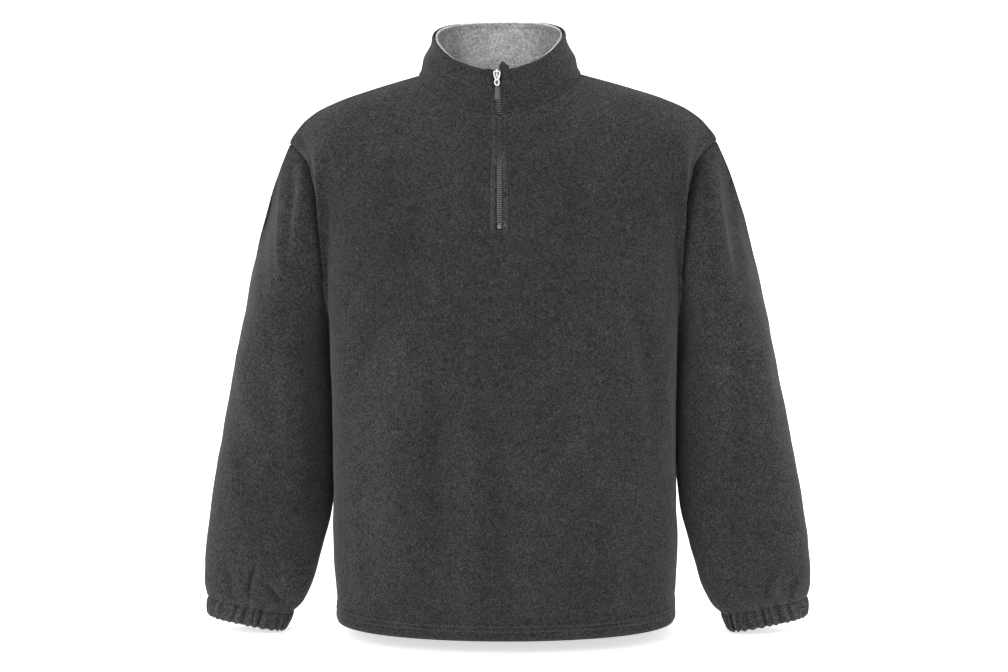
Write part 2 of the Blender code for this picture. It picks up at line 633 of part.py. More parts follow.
def bail_outline():
    """A half ring with straight legs down into the front plate, in up and out."""
    turns = np.linspace(0, math.pi, ARC_STEPS + 1)
    foot = -(HINGE_OUT - FRONT_PLATE[1] + OVERLAP)
    outer = [(BAIL_OUTER * math.cos(turn), BAIL_OUTER * math.sin(turn)) for turn in turns]
    inner = [(BAIL_INNER * math.cos(turn), BAIL_INNER * math.sin(turn)) for turn in turns[::-1]]
    ring = [(BAIL_OUTER, foot), *outer, (-BAIL_OUTER, foot), (-BAIL_INNER, foot), *inner]
    return [*ring, (BAIL_INNER, foot)]


def slider(place, up, out, finish):
    """Front plate, post, back plate and bail as one piece, its middle at the bail's."""
    flat = (ACROSS, up, out)
    plate = symmetric(SLIDER)
    post = symmetric({"half": (POST_HALF, POST_HALF), "up": (POST_FROM, POST_TO)})
    post_low, post_high = BACK_PLATE[1] - OVERLAP, FRONT_PLATE[0] + OVERLAP
    on_side = (up, out, ACROSS)
    hinge = place + out * HINGE_OUT
    body = prism("zip_slider", plate, *FRONT_PLATE, place, flat, finish)
    others = [
        prism("slider_post", post, post_low, post_high, place, flat, finish),
        prism("slider_back_plate", plate, *BACK_PLATE, place, flat, finish),
        prism("slider_bail", bail_outline(), -BAIL_HALF, BAIL_HALF, hinge, on_side, finish),
    ]
    return combine(body, others, "UNION")


def pull(hinge, metal, moulding):
    """The stirrup and its tab, hanging straight down from the hinge axis."""
    axes = ((1, 0, 0), (0, 0, 1), (0, -1, 0))
    half = PULL_THICKNESS / 2
    stirrup = prism("zip_pull", symmetric(PULL), -half, half, hinge, axes, metal)
    window = prism("pull_window", symmetric(PULL_WINDOW), -2 * half, 2 * half, hinge, axes, metal)
    eye = oval(PULL_EYE_HALF, PULL_EYE_TALL, -PULL_EYE_DOWN, 2 * ARC_STEPS)
    eye = prism("pull_eye", eye, -2 * half, 2 * half, hinge, axes, metal)
    combine(stirrup, (window, eye), "DIFFERENCE")
    half = TAB_THICKNESS / 2
    prism("zip_pull_tab", symmetric(TAB), -half, half, hinge, axes, moulding)


# --- whole garment ------------------------------------------------------------------------------
def mirrored(grid):
    """The same grid on the other side, with its columns reversed so that it still faces out."""
    return (grid * np.array([-1.0, 1.0, 1.0]))[:, ::-1]


def ring_outward(ring):
    """Directions away from a closed ring that stands in a plane across X, at each point."""
    around = np.gradient(np.concatenate([ring[-2:-1], ring, ring[1:2]]), axis=0)[1:-1]
    outward = unit(np.cross(around, ACROSS))
    centre = (ring.min(0) + ring.max(0)) / 2
    return outward * np.sign(np.sum(outward * (ring - centre), -1, keepdims=True))


def build_cloth(finish, inner_finish):
    front = panel_grid(panel_shares(NECK_STEPS_FRONT, True), True)
    back = panel_grid(panel_shares(NECK_STEPS_BACK, False), False)
    levels, _, slit_row = panel_rows()
    first = len(levels)
    armhole = np.concatenate([front[first:, -1], back[first:, 0][::-1][1:]])
    sleeve = sleeve_grid(armhole)
    cuff = cuff_grid()
    collar = collar_grid(collar_angles(), COLLAR_HEIGHTS)
    rows = front.shape[0]
    panel_wall = np.where(np.arange(rows) < HEM_ROWS, DOUBLE_WALL, WALL)
    seam_foot, seam_top = ((0, PULL_IN),), ((-1, PULL_IN),)
    seam_sides = ((0, PULL_IN), (-1, PULL_IN))
    pieces = {
        "front_panel": (front, panel_wall, seam_top, seam_sides, False),
        "back_panel": (back, panel_wall, seam_top, seam_sides, False),
        "sleeve_right": (sleeve, WALL, (*seam_foot, (-1, FOLD_PULL_IN)), (), True),
        "sleeve_left": (mirrored(sleeve), WALL, (*seam_foot, (-1, FOLD_PULL_IN)), (), True),
        "cuff_right": (cuff, DOUBLE_WALL, seam_top, (), True),
        "cuff_left": (mirrored(cuff), DOUBLE_WALL, seam_top, (), True),
        "collar_outer": (collar, WALL, seam_foot, (), False),
    }
    seams = SeamDirections()
    normals = {}
    for name, (grid, _, _, _, closed) in pieces.items():
        normals[name] = grid_normals(grid, closed)
        seams.add(grid, normals[name])
    for side in (1, -1):
        ring = armhole * np.array([side, 1.0, 1.0])
        seams.lean(ring[:-1], ARMHOLE_LEAN * ring_outward(ring)[:-1])
        seams.set(ring[:1], np.array([[0.0, 0.0, -1.0]]))
    for name in ("cuff_right", "cuff_left"):
        for edge in (pieces[name][0][-1, :-1], pieces[name.replace("cuff", "sleeve")][0][0, :-1]):
            seams.set(edge, unit(edge - (edge.min(0) + edge.max(0)) / 2))
    keep = np.ones((rows - 1, front.shape[1] - 1), bool)
    keep[slit_row:, front.shape[1] // 2 - 1] = False
    for name, (grid, thickness, edge_rows, edge_columns, closed) in pieces.items():
        thickness = np.broadcast_to(thickness, grid.shape[0])
        offsets = seams.offsets(grid, normals[name], thickness)
        pulled = grid.copy()
        for row, distance in edge_rows:
            inner = grid[1 if row == 0 else -2]
            pulled[row] = pull_back(grid[row], inner, offsets[row], distance)
        for column, distance in edge_columns:
            edge, inner = pulled[:, column].copy(), grid[:, 1 if column == 0 else -2]
            pulled[:, column] = pull_back(edge, inner, offsets[:, column], distance)
        kept = keep if name == "front_panel" else np.ones(np.array(grid.shape[:2]) - 1, bool)
        falling = normals[name][:-1, :-1, 0] > 0
        if closed:
            falling = np.full(kept.shape, "right" in name)
        quads = grid_quads(*grid.shape[:2])[kept]
        wall(name, pulled, offsets, finish, quads, closed, falling[kept])
    build_inner_collar(inner_finish)


def build_inner_collar(finish):
    """The lighter layer inside the collar, which stands off further where the zip tapes lie."""
    angles = collar_angles()
    grid = collar_grid(angles, INNER_HEIGHTS, INNER_EDGE, INNER_EDGE_MARGIN)
    normals = grid_normals(grid)
    full, none = INNER_CLEARS_ZIP
    near = np.clip((none - np.minimum(angles, 360 - angles)) / (none - full), 0, 1)
    near = near * near * (3 - 2 * near)
    behind = INNER_OFFSET + (INNER_OFFSET_AT_ZIP - INNER_OFFSET) * near
    falling = (normals[:-1, :-1, 0] > 0).reshape(-1)
    outside = grid - normals * behind[:, None]
    wall("collar_inner", outside, -normals * INNER_WALL, finish, falling=falling)


def build_zip(finishes):
    zip_tape("zip_tape_right", 1, finishes["dark_tape"])
    zip_tape("zip_tape_left", -1, finishes["dark_tape"])
    line = centre_line()
    seam, top = line[2][-len(COLLAR_HEIGHTS)], line[2][-1]
    middle = seam + SLIDER_HEIGHT * (top - seam)
    stop_top = STOP_FOOT + STOP_HEIGHT
    stop = [along_line(line, place) for place in (STOP_FOOT, stop_top)]
    bar_along("zip_bottom_stop", stop, STOP_HALF, STOP_BEHIND, STOP_DEPTH, finishes["grey_coil"])
    chain_top = middle + SLIDER["up"][0] - CHAIN_CLEARS_SLIDER
    zip_chain(line, stop_top + SEAM_GAP, chain_top, finishes["grey_coil"])
    place, out = along_line(line, middle)
    out = unit(out)
    slider(place, np.cross(out, ACROSS), out, finishes["silver_metal"])
    pull(place + out * HINGE_OUT, finishes["silver_metal"], finishes["grey_moulding"])


def main():
    for present in list(bpy.data.objects):
        bpy.data.objects.remove(present, do_unlink=True)
    finishes = {name: material(name, *look) for name, look in FINISHES.items()}
    build_cloth(finishes["charcoal_fleece"], finishes["grey_heather_fleece"])
    build_zip(finishes)


main()
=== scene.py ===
"""Quarter-zip fleece pullover: its cloth, seams, zip and stage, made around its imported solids.

Frame, in metres: +Z is up, the front faces -Y, +X is on the right of a viewer who faces the
front. The origin lies midway between the two points where collar and shoulder seams meet.

Each cloth piece is a grid of points on the form that its solid has, read far more finely. Its
outer skin is that form plus a relief of folds, seams and stitching, and its inner skin lies one
thickness of cloth behind. Both skins close up towards every edge, so that edges come out round.
"""

import functools
import math

import bpy
import numpy as np
from mathutils import Matrix, Vector


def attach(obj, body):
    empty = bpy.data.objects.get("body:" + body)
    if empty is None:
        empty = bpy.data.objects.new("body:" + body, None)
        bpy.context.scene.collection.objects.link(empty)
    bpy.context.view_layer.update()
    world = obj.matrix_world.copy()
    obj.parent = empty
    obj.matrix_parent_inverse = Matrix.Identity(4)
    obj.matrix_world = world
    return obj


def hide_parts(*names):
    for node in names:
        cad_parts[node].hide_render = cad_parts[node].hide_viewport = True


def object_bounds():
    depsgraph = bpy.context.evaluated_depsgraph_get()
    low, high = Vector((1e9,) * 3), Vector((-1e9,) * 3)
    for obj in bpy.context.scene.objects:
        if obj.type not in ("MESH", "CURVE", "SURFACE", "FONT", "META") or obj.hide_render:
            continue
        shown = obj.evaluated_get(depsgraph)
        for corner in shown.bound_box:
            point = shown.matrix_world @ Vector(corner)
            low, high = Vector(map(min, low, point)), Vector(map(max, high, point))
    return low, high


bl_info = {
    "name": "Fleece pullover",
    "version": (1, 0, 0),
    "blender": (4, 5, 0),
    "location": "View3D > Sidebar > Pullover",
    "description": "Builds the cloth, seams, zip and stage of a quarter-zip fleece pullover",
    "category": "Object",
}

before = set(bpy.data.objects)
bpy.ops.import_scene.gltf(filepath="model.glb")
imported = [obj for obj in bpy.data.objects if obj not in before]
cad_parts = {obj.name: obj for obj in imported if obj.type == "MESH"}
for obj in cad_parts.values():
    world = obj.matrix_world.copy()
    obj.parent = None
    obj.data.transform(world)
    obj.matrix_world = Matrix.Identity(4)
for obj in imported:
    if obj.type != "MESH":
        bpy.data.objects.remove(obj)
CAD_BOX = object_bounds()
AIM_Z = -0.336  # height the camera looks at
ACROSS = np.array([1.0, 0.0, 0.0])
MIRROR = np.array([-1.0, 1.0, 1.0])
ALL_EDGES, TUBE_ENDS = ("foot", "top", "first", "last"), ("foot", "top")

# --- form of the torso below the armholes: a row for each section, hem first ---
TORSO = {
    "level": (0.0, 0.07, 0.20, 0.50, 0.78, 1.0),
    "side_z": (-0.697, -0.673, -0.622, -0.515, -0.420, -0.345),
    "half_width": (0.2195, 0.2185, 0.2215, 0.2200, 0.2200, 0.2215),
    "front_depth": (0.134, 0.135, 0.136, 0.138, 0.138, 0.134),
    "back_depth": (0.124, 0.125, 0.126, 0.122, 0.124, 0.128),
    "front_dip": (-0.0055, -0.0055, -0.005, -0.003, -0.001, 0.0),
    "back_dip": (-0.004, -0.004, -0.003, -0.002, 0.0, 0.0),
}
FRONT_POWER, FRONT_FLAT = 4.6, 0.70  # squareness of the side fold, share of depth that is flat
BACK_POWER, BACK_FLAT = 3.2, 0.62
SIDE_Y = 0.004

# --- form of the shoulders and the neckline ---
RIDGE = {
    "share": (0.0, 0.15, 0.30, 0.545, 0.72, 0.846, 0.93, 1.0),
    "x": (0.0, 0.053, 0.103, 0.165, 0.208, 0.239, 0.2585, 0.2705),
    "y": (0.0, 0.002, 0.004, -0.003, -0.005, -0.003, 0.0, 0.002),
    "z": (0.021, 0.011, -0.003, -0.021, -0.0355, -0.0505, -0.067, -0.088),
}
NECK_SHARE = 0.30  # share of a panel's columns, centre to side, that end on the neckline
NECK_RISE_FRONT, NECK_RISE_BACK = 0.70, 0.80
NECK_ROUNDNESS = 1.75
NECK_SHIFT = -0.003
ARRIVE_FRONT = {
    "share": (0.0, 0.30, 0.60, 0.85, 1.0),
    "x": (0.0, 0.0, 0.01, 0.08, 0.200),
    "y": (0.25, 0.25, 0.25, 0.24, 0.200),
    "z": (0.10, 0.09, 0.09, 0.10, 0.120),
}
ARRIVE_BACK = {
    "share": (0.0, 0.30, 0.60, 0.85, 1.0),
    "x": (0.0, 0.0, 0.01, 0.08, 0.200),
    "y": (-0.27, -0.27, -0.27, -0.26, -0.220),
    "z": (0.10, 0.10, 0.10, 0.10, 0.120),
}
RISE, RISE_AT_SEAM = 0.33, 0.17
ARMHOLE_REACH_FRONT, ARMHOLE_REACH_BACK = 0.17, 0.24
ARMHOLE_TIGHTNESS = 5
ARMHOLE_LEAN = 0.7
FOLD_SHARE, FOLD_WIDTH = 0.90, 0.07  # the front panel's soft fold over the armhole seam
FOLD_OUT, FOLD_FORWARD = 0.007, 0.010
UNDERARM_SOFT, UNDERARM_BAND = 0.045, 0.10  # how far the form is evened out at the underarm level
ARMHOLE_SINK, ARMHOLE_SINK_BEHIND = 0.0080, 0.5
ARMHOLE_FRONT = ((0.04, 0.14), (0.36, 0.485))  # shares of the ring where the valley comes and goes
ARMHOLE_BACK = ((0.515, 0.64), (0.86, 0.96))
PANEL_SINK_WIDTH, SLEEVE_SINK_WIDTH = 0.0048, 0.0120
ARMHOLE_RIDGE, ARMHOLE_RIDGE_AT, ARMHOLE_RIDGE_WIDTH = 0.0034, 0.0085, 0.0045
VALLEY_SHADE, PANEL_VALLEY, SLEEVE_VALLEY = 0.70, 0.0024, 0.0125
RIM_HIGHLIGHT, RIM_WIDTH = 0.95, 0.0020  # painted highlight on the panel's fold beside the armhole
RIM_BEFORE = 0.0015  # it is lightest this far before the ridge's top

# --- form of the sleeve, in the right sleeve's plane ---
SLEEVE = {
    "level": (0.0, 0.28, 0.52, 0.72, 0.88, 0.955, 1.0),
    "z": (-0.385, -0.474, -0.550, -0.612, -0.656, -0.6755, -0.6835),
    "inner_x": (0.2222, 0.2212, 0.2262, 0.2425, 0.2570, 0.2690, 0.2790),
    "outer_x": (0.3515, 0.3690, 0.3820, 0.3905, 0.3935, 0.3925, 0.3895),
    "centre_y": (0.008, 0.004, -0.003, -0.008, -0.010, -0.010, -0.010),
    "half_depth": (0.078, 0.072, 0.063, 0.053, 0.043, 0.0355, 0.0310),
    "tilt": (1.0, 3.0, 5.0, 7.0, 9.0, 11.0, 12.0),
    "power": (2.3, 2.3, 2.3, 2.4, 2.7, 3.1, 3.6),  # squareness of the section
}
SLEEVE_LEAVE = {
    "share": (0.0, 0.08, 0.25, 0.42, 0.50, 0.58, 0.75, 0.92, 1.0),
    "x": (0.012, 0.060, 0.140, 0.130, 0.115, 0.130, 0.130, 0.060, 0.012),
    "y": (0.0, -0.020, -0.060, -0.030, 0.0, 0.030, 0.060, 0.020, 0.0),
    "z": (-0.030, -0.040, -0.090, -0.180, -0.220, -0.180, -0.090, -0.040, -0.030),
}
SLEEVE_SETTLE, SLEEVE_SETTLE_REACH, SLEEVE_SPLAY = 0.26, 1.1, 0.19
CUFF_HEIGHT, CUFF_NARROWER = 0.0265, 0.91

# --- form of the collar ---
COLLAR_TOP = {  # the top edge, by angle from the centre front round to the centre back
    "angle": (0.0, 12.0, 35.0, 65.0, 90.0, 120.0, 150.0, 168.0, 180.0),
    "x": (0.0, 0.0175, 0.0490, 0.0755, 0.0815, 0.0680, 0.0400, 0.0165, 0.0),
    "y": (-0.0740, -0.0732, -0.0622, -0.034, -0.004, 0.034, 0.058, 0.0643, 0.065),
    "z": (0.0030, 0.0042, 0.0140, 0.035, 0.050, 0.060, 0.064, 0.0648, 0.065),
}
COLLAR_LEAN = {
    "angle": (0.0, 45.0, 90.0, 135.0, 180.0),
    "leave_out": (-0.010, -0.025, -0.040, -0.025, -0.010),
    "leave_up": (0.060, 0.055, 0.045, 0.055, 0.058),
    "arrive_out": (-0.012, -0.016, -0.020, -0.010, -0.004),
    "arrive_up": (0.058, 0.058, 0.060, 0.058, 0.056),
}
INNER_BEHIND, INNER_BEHIND_AT_ZIP = 0.0027, 0.0046
INNER_CLEARS_ZIP = (14.0, 40.0)
INNER_WALL = 0.0020
INNER_ROLL, INNER_ROLL_HIGHLIGHT = 0.0008, 0.9  # its top edge rolls over and is lighter there, a painted highlight
INNER_ROLL_AT, INNER_ROLL_WIDTH, INNER_TONE_WIDTH = 0.0012, 0.0016, 0.0022
INNER_UNEVEN, INNER_UNEVEN_SCALE = 200, 2.6  # tone for each metre of the cloth's waves
INNER_SIDES_SHADE, INNER_MIDDLE = 0.20, (0.015, 0.065)  # painted shade: darker at its sides than behind the neck
INNER_LINE_SHADE, INNER_LINE_AT, INNER_LINE_WIDTH = 0.30, 0.0078, 0.0010  # painted shade along its row of stitches
COLLAR_PUFF, PUFF_AT, PUFF_WIDTH = 0.0044, 0.023, 0.014  # its sides bulge above the seam
PUFF_FROM = (0.040, 0.072)  # distance across at which the bulge starts and is full
COLLAR_ROLL = 0.0016  # the outer collar's top edge stands out this far
ROLL_AT, ROLL_WIDTH, ROLL_FROM_ZIP = 0.003, 0.006, (0.02, 0.06)
INNER_EDGE, INNER_EDGE_MARGIN = 0.0045, 0.0008

# --- form of the zip ---
ZIP_BOTTOM_Z = -0.1915
ZIP_GAP = {  # half the distance between the fabric edges, by height
    "z": (ZIP_BOTTOM_Z, -0.135, -0.112, -0.098, -0.070, -0.050, -0.030, -0.014, -0.004, 0.006),
    "half": (0.0042, 0.0040, 0.0030, 0.0016, 0.0016, 0.0024, 0.0028, 0.0044, 0.0066, 0.0078),
}
ZIP_EASE = 0.030  # distance from the zip at which the opening no longer shifts the cloth
SLIT_SHARE = 0.0087
RING_SHARE_AT_SLIT = 2 / 11  # share of the armhole ring at the height of the zip's lower end
SLIDER_HEIGHT = 0.95

# --- how finely each piece is cut: steps in each stretch between two stops ---
RISE_SAMPLES, ZIP_SAMPLES = 401, (200, 60)  # where a height or a distance is looked up
LEVEL_STOPS, LEVEL_STEPS = (0.0, 0.010, 0.030, 0.075, 0.10, 1.0), (7, 6, 16, 4, 66)
BELOW_SLIT, BELOW_SLIT_STEPS = 0.035, (24, 12)
ABOVE_SLIT, ABOVE_SLIT_STEPS = (0.030, 0.955, 0.985, 1.0), (8, 40, 6, 8)
NECK_STOPS_FRONT, NECK_STEPS_FRONT = (10.0, 82.0, 90.0), (26, 26, 6)
NECK_STOPS_BACK, NECK_STEPS_BACK = (0.0, 82.0, 90.0), (26, 6)
SHOULDER_STOPS, SHOULDER_STEPS = (NECK_SHARE, 0.32, 0.95, 0.985, 1.0), (3, 34, 5, 7)
CAP_STOPS, CAP_STEPS = (0.0, 0.02, 0.08, 1.0), (7, 7, 50)
ARM_STOPS, ARM_STEPS = (0.0, 0.90, 0.985, 1.0), (84, 16, 8)
COLLAR_STOPS, COLLAR_STEPS = (0.0, 0.05, 0.90, 1.0), (6, 22, 10)
INNER_STOPS, INNER_STEPS = (0.06, 0.11, 0.90, 1.005), (6, 22, 12)
CUFF_STOPS, CUFF_STEPS = (0.0, 0.10, 0.90, 1.0), (6, 14, 6)
CUFF_COLUMNS = 288

# --- seams and edges ---
CLOSE_UP, EDGE_REACH = 0.85, 0.0014  # share of the thickness lost at an edge, and how near to it
PLAIN_WALL = 0.0024  # cloth thicker than this closes up over a longer stretch
SEAM_SHUT = 0.002  # gathers and tucks die away this near a seam
SEAM_TURN = 0.004  # within this distance both pieces of a seam turn to face the same way
TIP_RISE, TIP_LONG, TIP_AT, TIP_WIDTH = 0.0024, 0.034, 0.0070, 0.0095  # the shoulder's end bump
SEAM_CALM = 0.009  # folds die away this near a seam
SEAM_LAP, SEAM_LAP_HEIGHT = 0.0055, 0.0005  # the allowance under a seam lifts the cloth beside it
SIDE_HIGHLIGHT_SHARE, LOW_TONE = 0.80, -0.13  # share of the rim's painted highlight on the torso's sides; painted shade low down, which the collar takes all over
RIM_FACES, RIM_TURN, RIM_FROM = 0.34, 0.20, (0.28, 0.36)  # where that fold faces, and from where down
LOW_FROM = (0.05, 0.16)  # how far below the collar the low painted shade starts and is complete
SEAM_HIGHLIGHT = 0.14  # painted highlight: cloth over a seam or a turned edge is this much lighter
SEAM_TONE_AT, SEAM_TONE_WIDTH, SHOULDER_TONE_AT = 0.003, 0.003, 0.004
ROW_TONE, ROW_TONE_WIDTH = 0.7, 0.0012  # the share of that painted highlight along the hem's rows
HEM_HEIGHT, HEM_STITCHES = 0.0225, (0.0128, 0.0188)
HEM_EDGE = (HEM_HEIGHT - 0.0008, HEM_HEIGHT + 0.0012)  # where the cloth steps in over it
HEM_THINS = (HEM_HEIGHT - 0.001, HEM_HEIGHT + 0.002)  # where doubled cloth becomes single
HEM_SPAN = (0.012, 0.988)  # shares of the hem between which it is stitched
ARMHOLE_STITCHES = (0.0062, 0.53, 0.995)  # distance from the seam, and shares from and to
COLLAR_STITCH_ROW = (0.0085, 0.03, 0.97)  # the same, from the inner collar's top edge
LIGHT_THREAD = (0.30, 0.30, 0.31)
# Along a stitch: share of its length, and its girth and height as shares of the thread's radius.
STITCH_FORM = ((0.0, 0.35, -0.9), (0.12, 0.9, 0.25), (0.5, 1.0, 0.55), (0.88, 0.9, 0.25), (1.0, 0.35, -0.9))
HEM_STEP, STITCH_SINK, STITCH_SINK_WIDTH = 0.0007, 0.0007, 0.0011
HEM_NOTCH, HEM_NOTCH_SIZE, HEM_CALM = 0.0022, 0.007, 0.020
BAND_WIDTH, BAND_HEIGHT, BAND_BELOW, BAND_HIGHLIGHT = 0.0062, 0.0012, 0.0100, 0.45
BAND_LIT = (-0.106, -0.086)  # heights between which the band's painted highlight ends
BAND_TONE_FROM = (0.0004, 0.0016)  # distance from the zip's edge over which that painted highlight starts
BAND_EDGE = (BAND_WIDTH - 0.0010, BAND_WIDTH + 0.0006)  # where its side slopes down
BAND_FURROW = 0.0004  # how far past it the stitching lies
BAND_END, BAND_FADE = 0.0025, 0.002  # slope of its lower end, and where its painted highlight starts to fade
PUCKER, PUCKER_AT, PUCKER_WIDTH = 0.0005, 0.005, 0.007  # the collar's, above its seam

# --- folds: across and up where it starts, across and up where it ends, bow, half width and height,
# --- all in millimetres; the sleeves' folds are given for the right sleeve's side ---
FRONT_FOLDS = (
    (-104, -290, -141, -650, 10, 26, 6.3), (-42, -400, -47, -690, -4, 15, 4.5),
    (-74, -350, -78, -610, 4, 12, -3.3), (-4, -430, 4, -670, 3, 16, -3.3),
    (140, -262, 178, -470, -6, 8.5, 5.1), (160, -285, 200, -450, -5, 13, -4.5),
    (-132, -290, -190, -400, 6, 14, -3.9), (60, -470, 46, -680, 6, 22, 3.6),
    (110, -500, 122, -670, -4, 15, -2.7), (150, -540, 140, -690, 3, 14, 3),
    (-185, -470, -178, -670, 4, 13, 3.3), (-150, -110, -100, -240, -12, 20, -2.4),
    (100, -90, 85, -230, 8, 18, -2.1), (-60, -80, -45, -200, -6, 16, 1.8),
)
BACK_FOLDS = (
    (-120, -130, -150, -420, 12, 22, 3.4), (118, -150, 142, -450, -10, 20, 3),
    (-80, -260, -95, -660, -8, 18, -3), (90, -330, 70, -680, 8, 17, -2.8),
    (-30, -340, -45, -690, 6, 19, 3.4), (24, -400, 30, -690, -5, 14, 2.6),
    (-170, -440, -110, -500, 10, 10, -2.4), (175, -420, 120, -470, -8, 9, -2.2),
    (150, -500, 160, -690, 4, 14, 2.6), (-155, -520, -148, -690, 4, 15, 2.2),
)
LEFT_SLEEVE_FOLDS = {
    "front": (
        (281, -112, 277, -280, -3, 5, 3.4), (251, -100, 264, -215, 2, 5.5, 3.4),
        (268, -100, 271, -250, 2, 6, -3.1), (300, -130, 302, -300, -4, 9, -2.8),
        (278, -330, 276, -490, 4, 13, 3.4), (250, -330, 247, -560, 4, 12, -3.6),
        (336, -330, 312, -450, -6, 13, 2.8), (345, -440, 322, -590, 8, 15, -2.8),
        (316, -616, 332.5, -668, -1.5, 3.4, -6.8), (309, -606, 324, -664, -2, 6, 3.4),
        (308, -648, 290, -676, 1, 3, -4.2), (356, -625, 352, -672, 1, 6, -3.4),
        (280, -610, 290, -660, 2, 8, 3.4),
    ),
    "back": (
        (235, -380, 300, -430, -10, 12, -4.5), (240, -430, 320, -470, -10, 13, 4.5),
        (250, -520, 330, -590, 10, 12, -3.6), (262, -110, 270, -290, 4, 10, 3.4),
        (285, -130, 292, -320, -4, 11, -3.4), (322, -620, 334, -668, 2, 4, -4.4),
        (296, -630, 300, -672, 2, 4, -3.6),
    ),
}
RIGHT_SLEEVE_FOLDS = {
    "front": (
        (267, -108, 287, -270, 2, 7, 3.9), (286, -120, 302, -280, 2, 8, -3.1),
        (252, -120, 266, -270, 2, 6.5, -3.1), (257, -280, 277, -490, -4, 13, 3.4),
        (295, -320, 305, -520, 5, 15, -2.8), (330, -300, 345, -480, 4, 12, 2.5),
        (262, -540, 285, -640, -4, 11, 3.1), (341, -632, 335, -668, 1, 3.8, -5.6),
        (349, -622, 345, -664, 1, 5.5, 3.9), (370, -640, 364, -674, 1, 3.6, -4.4),
        (305, -636, 312, -672, 1, 5, -3.4),
    ),
    "back": (
        (232, -400, 305, -440, 10, 12, -4.2), (240, -455, 318, -495, 10, 13, 4.2),
        (255, -550, 335, -610, -10, 12, -3.6), (265, -120, 268, -300, -4, 11, 3.4),
        (288, -130, 300, -290, 4, 10, -3.1), (345, -628, 340, -672, 2, 4, -4.4),
        (310, -640, 316, -676, 2, 4, -3.8),
    ),
}
COLLAR_FOLDS = (
    (-20, 0, -21, -20, 1, 2.8, -1.6), (-52, -4, -46, -30, 2, 6, -1.2),
    (40, -8, 46, -32, -2, 6, -1.2), (20, -2, 24, -30, 1, 5, 0.8),
)
FOLD_TONE = 0.16  # painted shade: how much darker a deep trough is; painted highlight: how much lighter a high ridge
FOLD_LEAN = 0.3  # a fold is this much steeper on one side
FOLD_REACH = 0.44  # share of its line, either side of the middle, where a fold is down to a third
FOLD_TONE_HEIGHT = 0.004  # the tone hardly grows for folds higher than this
GATHERS = (  # round a cuff: degrees, half width in degrees, depth
    (4, 5, 0.0013), (15, 4, 0.0019), (24, 3, 0.0022), (33, 3, 0.0027), (43, 3, 0.0021),
    (53, 4, 0.0026), (63, 3, 0.0018), (72, 3, 0.0031), (80, 2, 0.0016), (91, 3, 0.0034),
    (104, 3, 0.0018), (117, 5, 0.0009), (132, 3, 0.0016), (145, 4, 0.0013), (158, 3, 0.0021),
    (170, 4, 0.0013), (183, 5, 0.0016), (196, 4, 0.0020), (207, 3, 0.0024), (219, 5, 0.0018),
    (233, 4, 0.0025), (246, 3, 0.0019), (257, 5, 0.0023), (271, 4, 0.0030), (284, 3, 0.0016),
    (296, 5, 0.0024), (311, 4, 0.0019), (325, 5, 0.0022), (339, 4, 0.0015), (351, 4, 0.0019),
)
GATHER_TONE, GATHER_LIT, GATHER_DEEP = 0.34, 2.1, 0.0020  # painted light and shade of the gathers: tone, its height, depth where it is 0
CUFF_PUFF, CUFF_SLANT = 0.0012, 4.0  # height of the casing's puff, degrees its gathers slant
TUCKS_ROUND, TUCK_DEPTH, TUCK_TONE = 41, 0.0007, 0.55  # finer tucks between the furrows of a cuff, with painted light and shade
TUCK_HANG = 0.0011  # the tucks make the cuff's edge wave by this much
GATHERS_TURN = 13.0  # the right cuff's gathers lie this many degrees further round
GATHER_CLIMB = 0.020  # the gathers run this far up the sleeve from the cuff's seam
SLEEVE_WAVES = {"right": (0.3, 0.0, 0.2), "left": (0.9, 0.4, 0.5)}  # where each reads the waves
FACING = (-0.1, 0.5)  # how far a normal turns forward or back before the folds there are full
REST_CLOSE_Z, REST_CLOSE_HEIGHT, REST_CLOSE_OUT = 0.355, 0.022, 0.0026  # closest below the underarm
REST_Z, REST_HEIGHT, REST_DEGREES, REST_OUT = 0.435, 0.115, 14.0, 0.0016  # rests on the side
UNDERARM_SINK, UNDERARM_DEGREES = 0.0006, 1.2
BESIDE_BODY_SHADE, BESIDE_DEGREES = 0.48, 55.0  # painted shade: how much darker the sleeve is beside the body
HIDDEN = ((0.26, 0.36), (0.56, 0.66))  # depths over which that painted shade comes and goes

# --- zip ---
PROBE = 0.02  # share of the columns, to each side of the zip, that gives their width
TAPE_FROM, TAPE_TO, TAPE_BEHIND, TAPE_THICK = 0.0026, 0.0150, 0.0034, 0.0006
TAPE_CORD = 0.0006  # radius of the cord in the tape's edge
TAPE_PEAK, TAPE_PEAK_AT, TAPE_SLOPES = 0.0103, 0.0066, (1.35, 0.85)  # the right tape's top corner
TAPE_PEAK_ROWS, TAPE_LEAN = 8, 0.0010
TAPE_ROWS, TAPE_COLUMNS = (90, 30), 12
TOOTH_PITCH = 0.0028
TOOTH_ROOT, TOOTH_TIP = 0.0030, -0.0021  # reach of a tooth from the middle, its own side positive
TOOTH_TALL, TOOTH_DEEP, TOOTH_BEHIND = 0.00075, 0.0008, 0.0026
TOOTH_ROUND, TOOTH_FLARE, STOP_ROUND = 0.45, 0.25, 0.3  # squareness, and widening at the root
RAIL_AT, RAIL_RADIUS = 0.0025, 0.00055  # the teeth's moulded foot along each tape
CHAIN_TOP_BELOW_SLIDER = 0.0105
STOP_FOOT, STOP_HEIGHT, STOP_HALF, STOP_DEEP = 0.0014, 0.0056, 0.0028, 0.0011
STOP_FORWARD = 0.0004  # it stands this far before the middle of the teeth
PLATE_OUTLINE = {
    "up": (-0.0084, -0.0072, -0.0050, 0.0, 0.0016, 0.0026, 0.0032),
    "half": (0.0016, 0.0024, 0.0030, 0.0040, 0.0048, 0.0046, 0.0036),
}
FRONT_PLATE, BACK_PLATE = (-0.0022, 0.0003), (-0.0062, -0.0050)
POST_HALF, POST_FROM, POST_TO = 0.0020, 0.0008, 0.0028
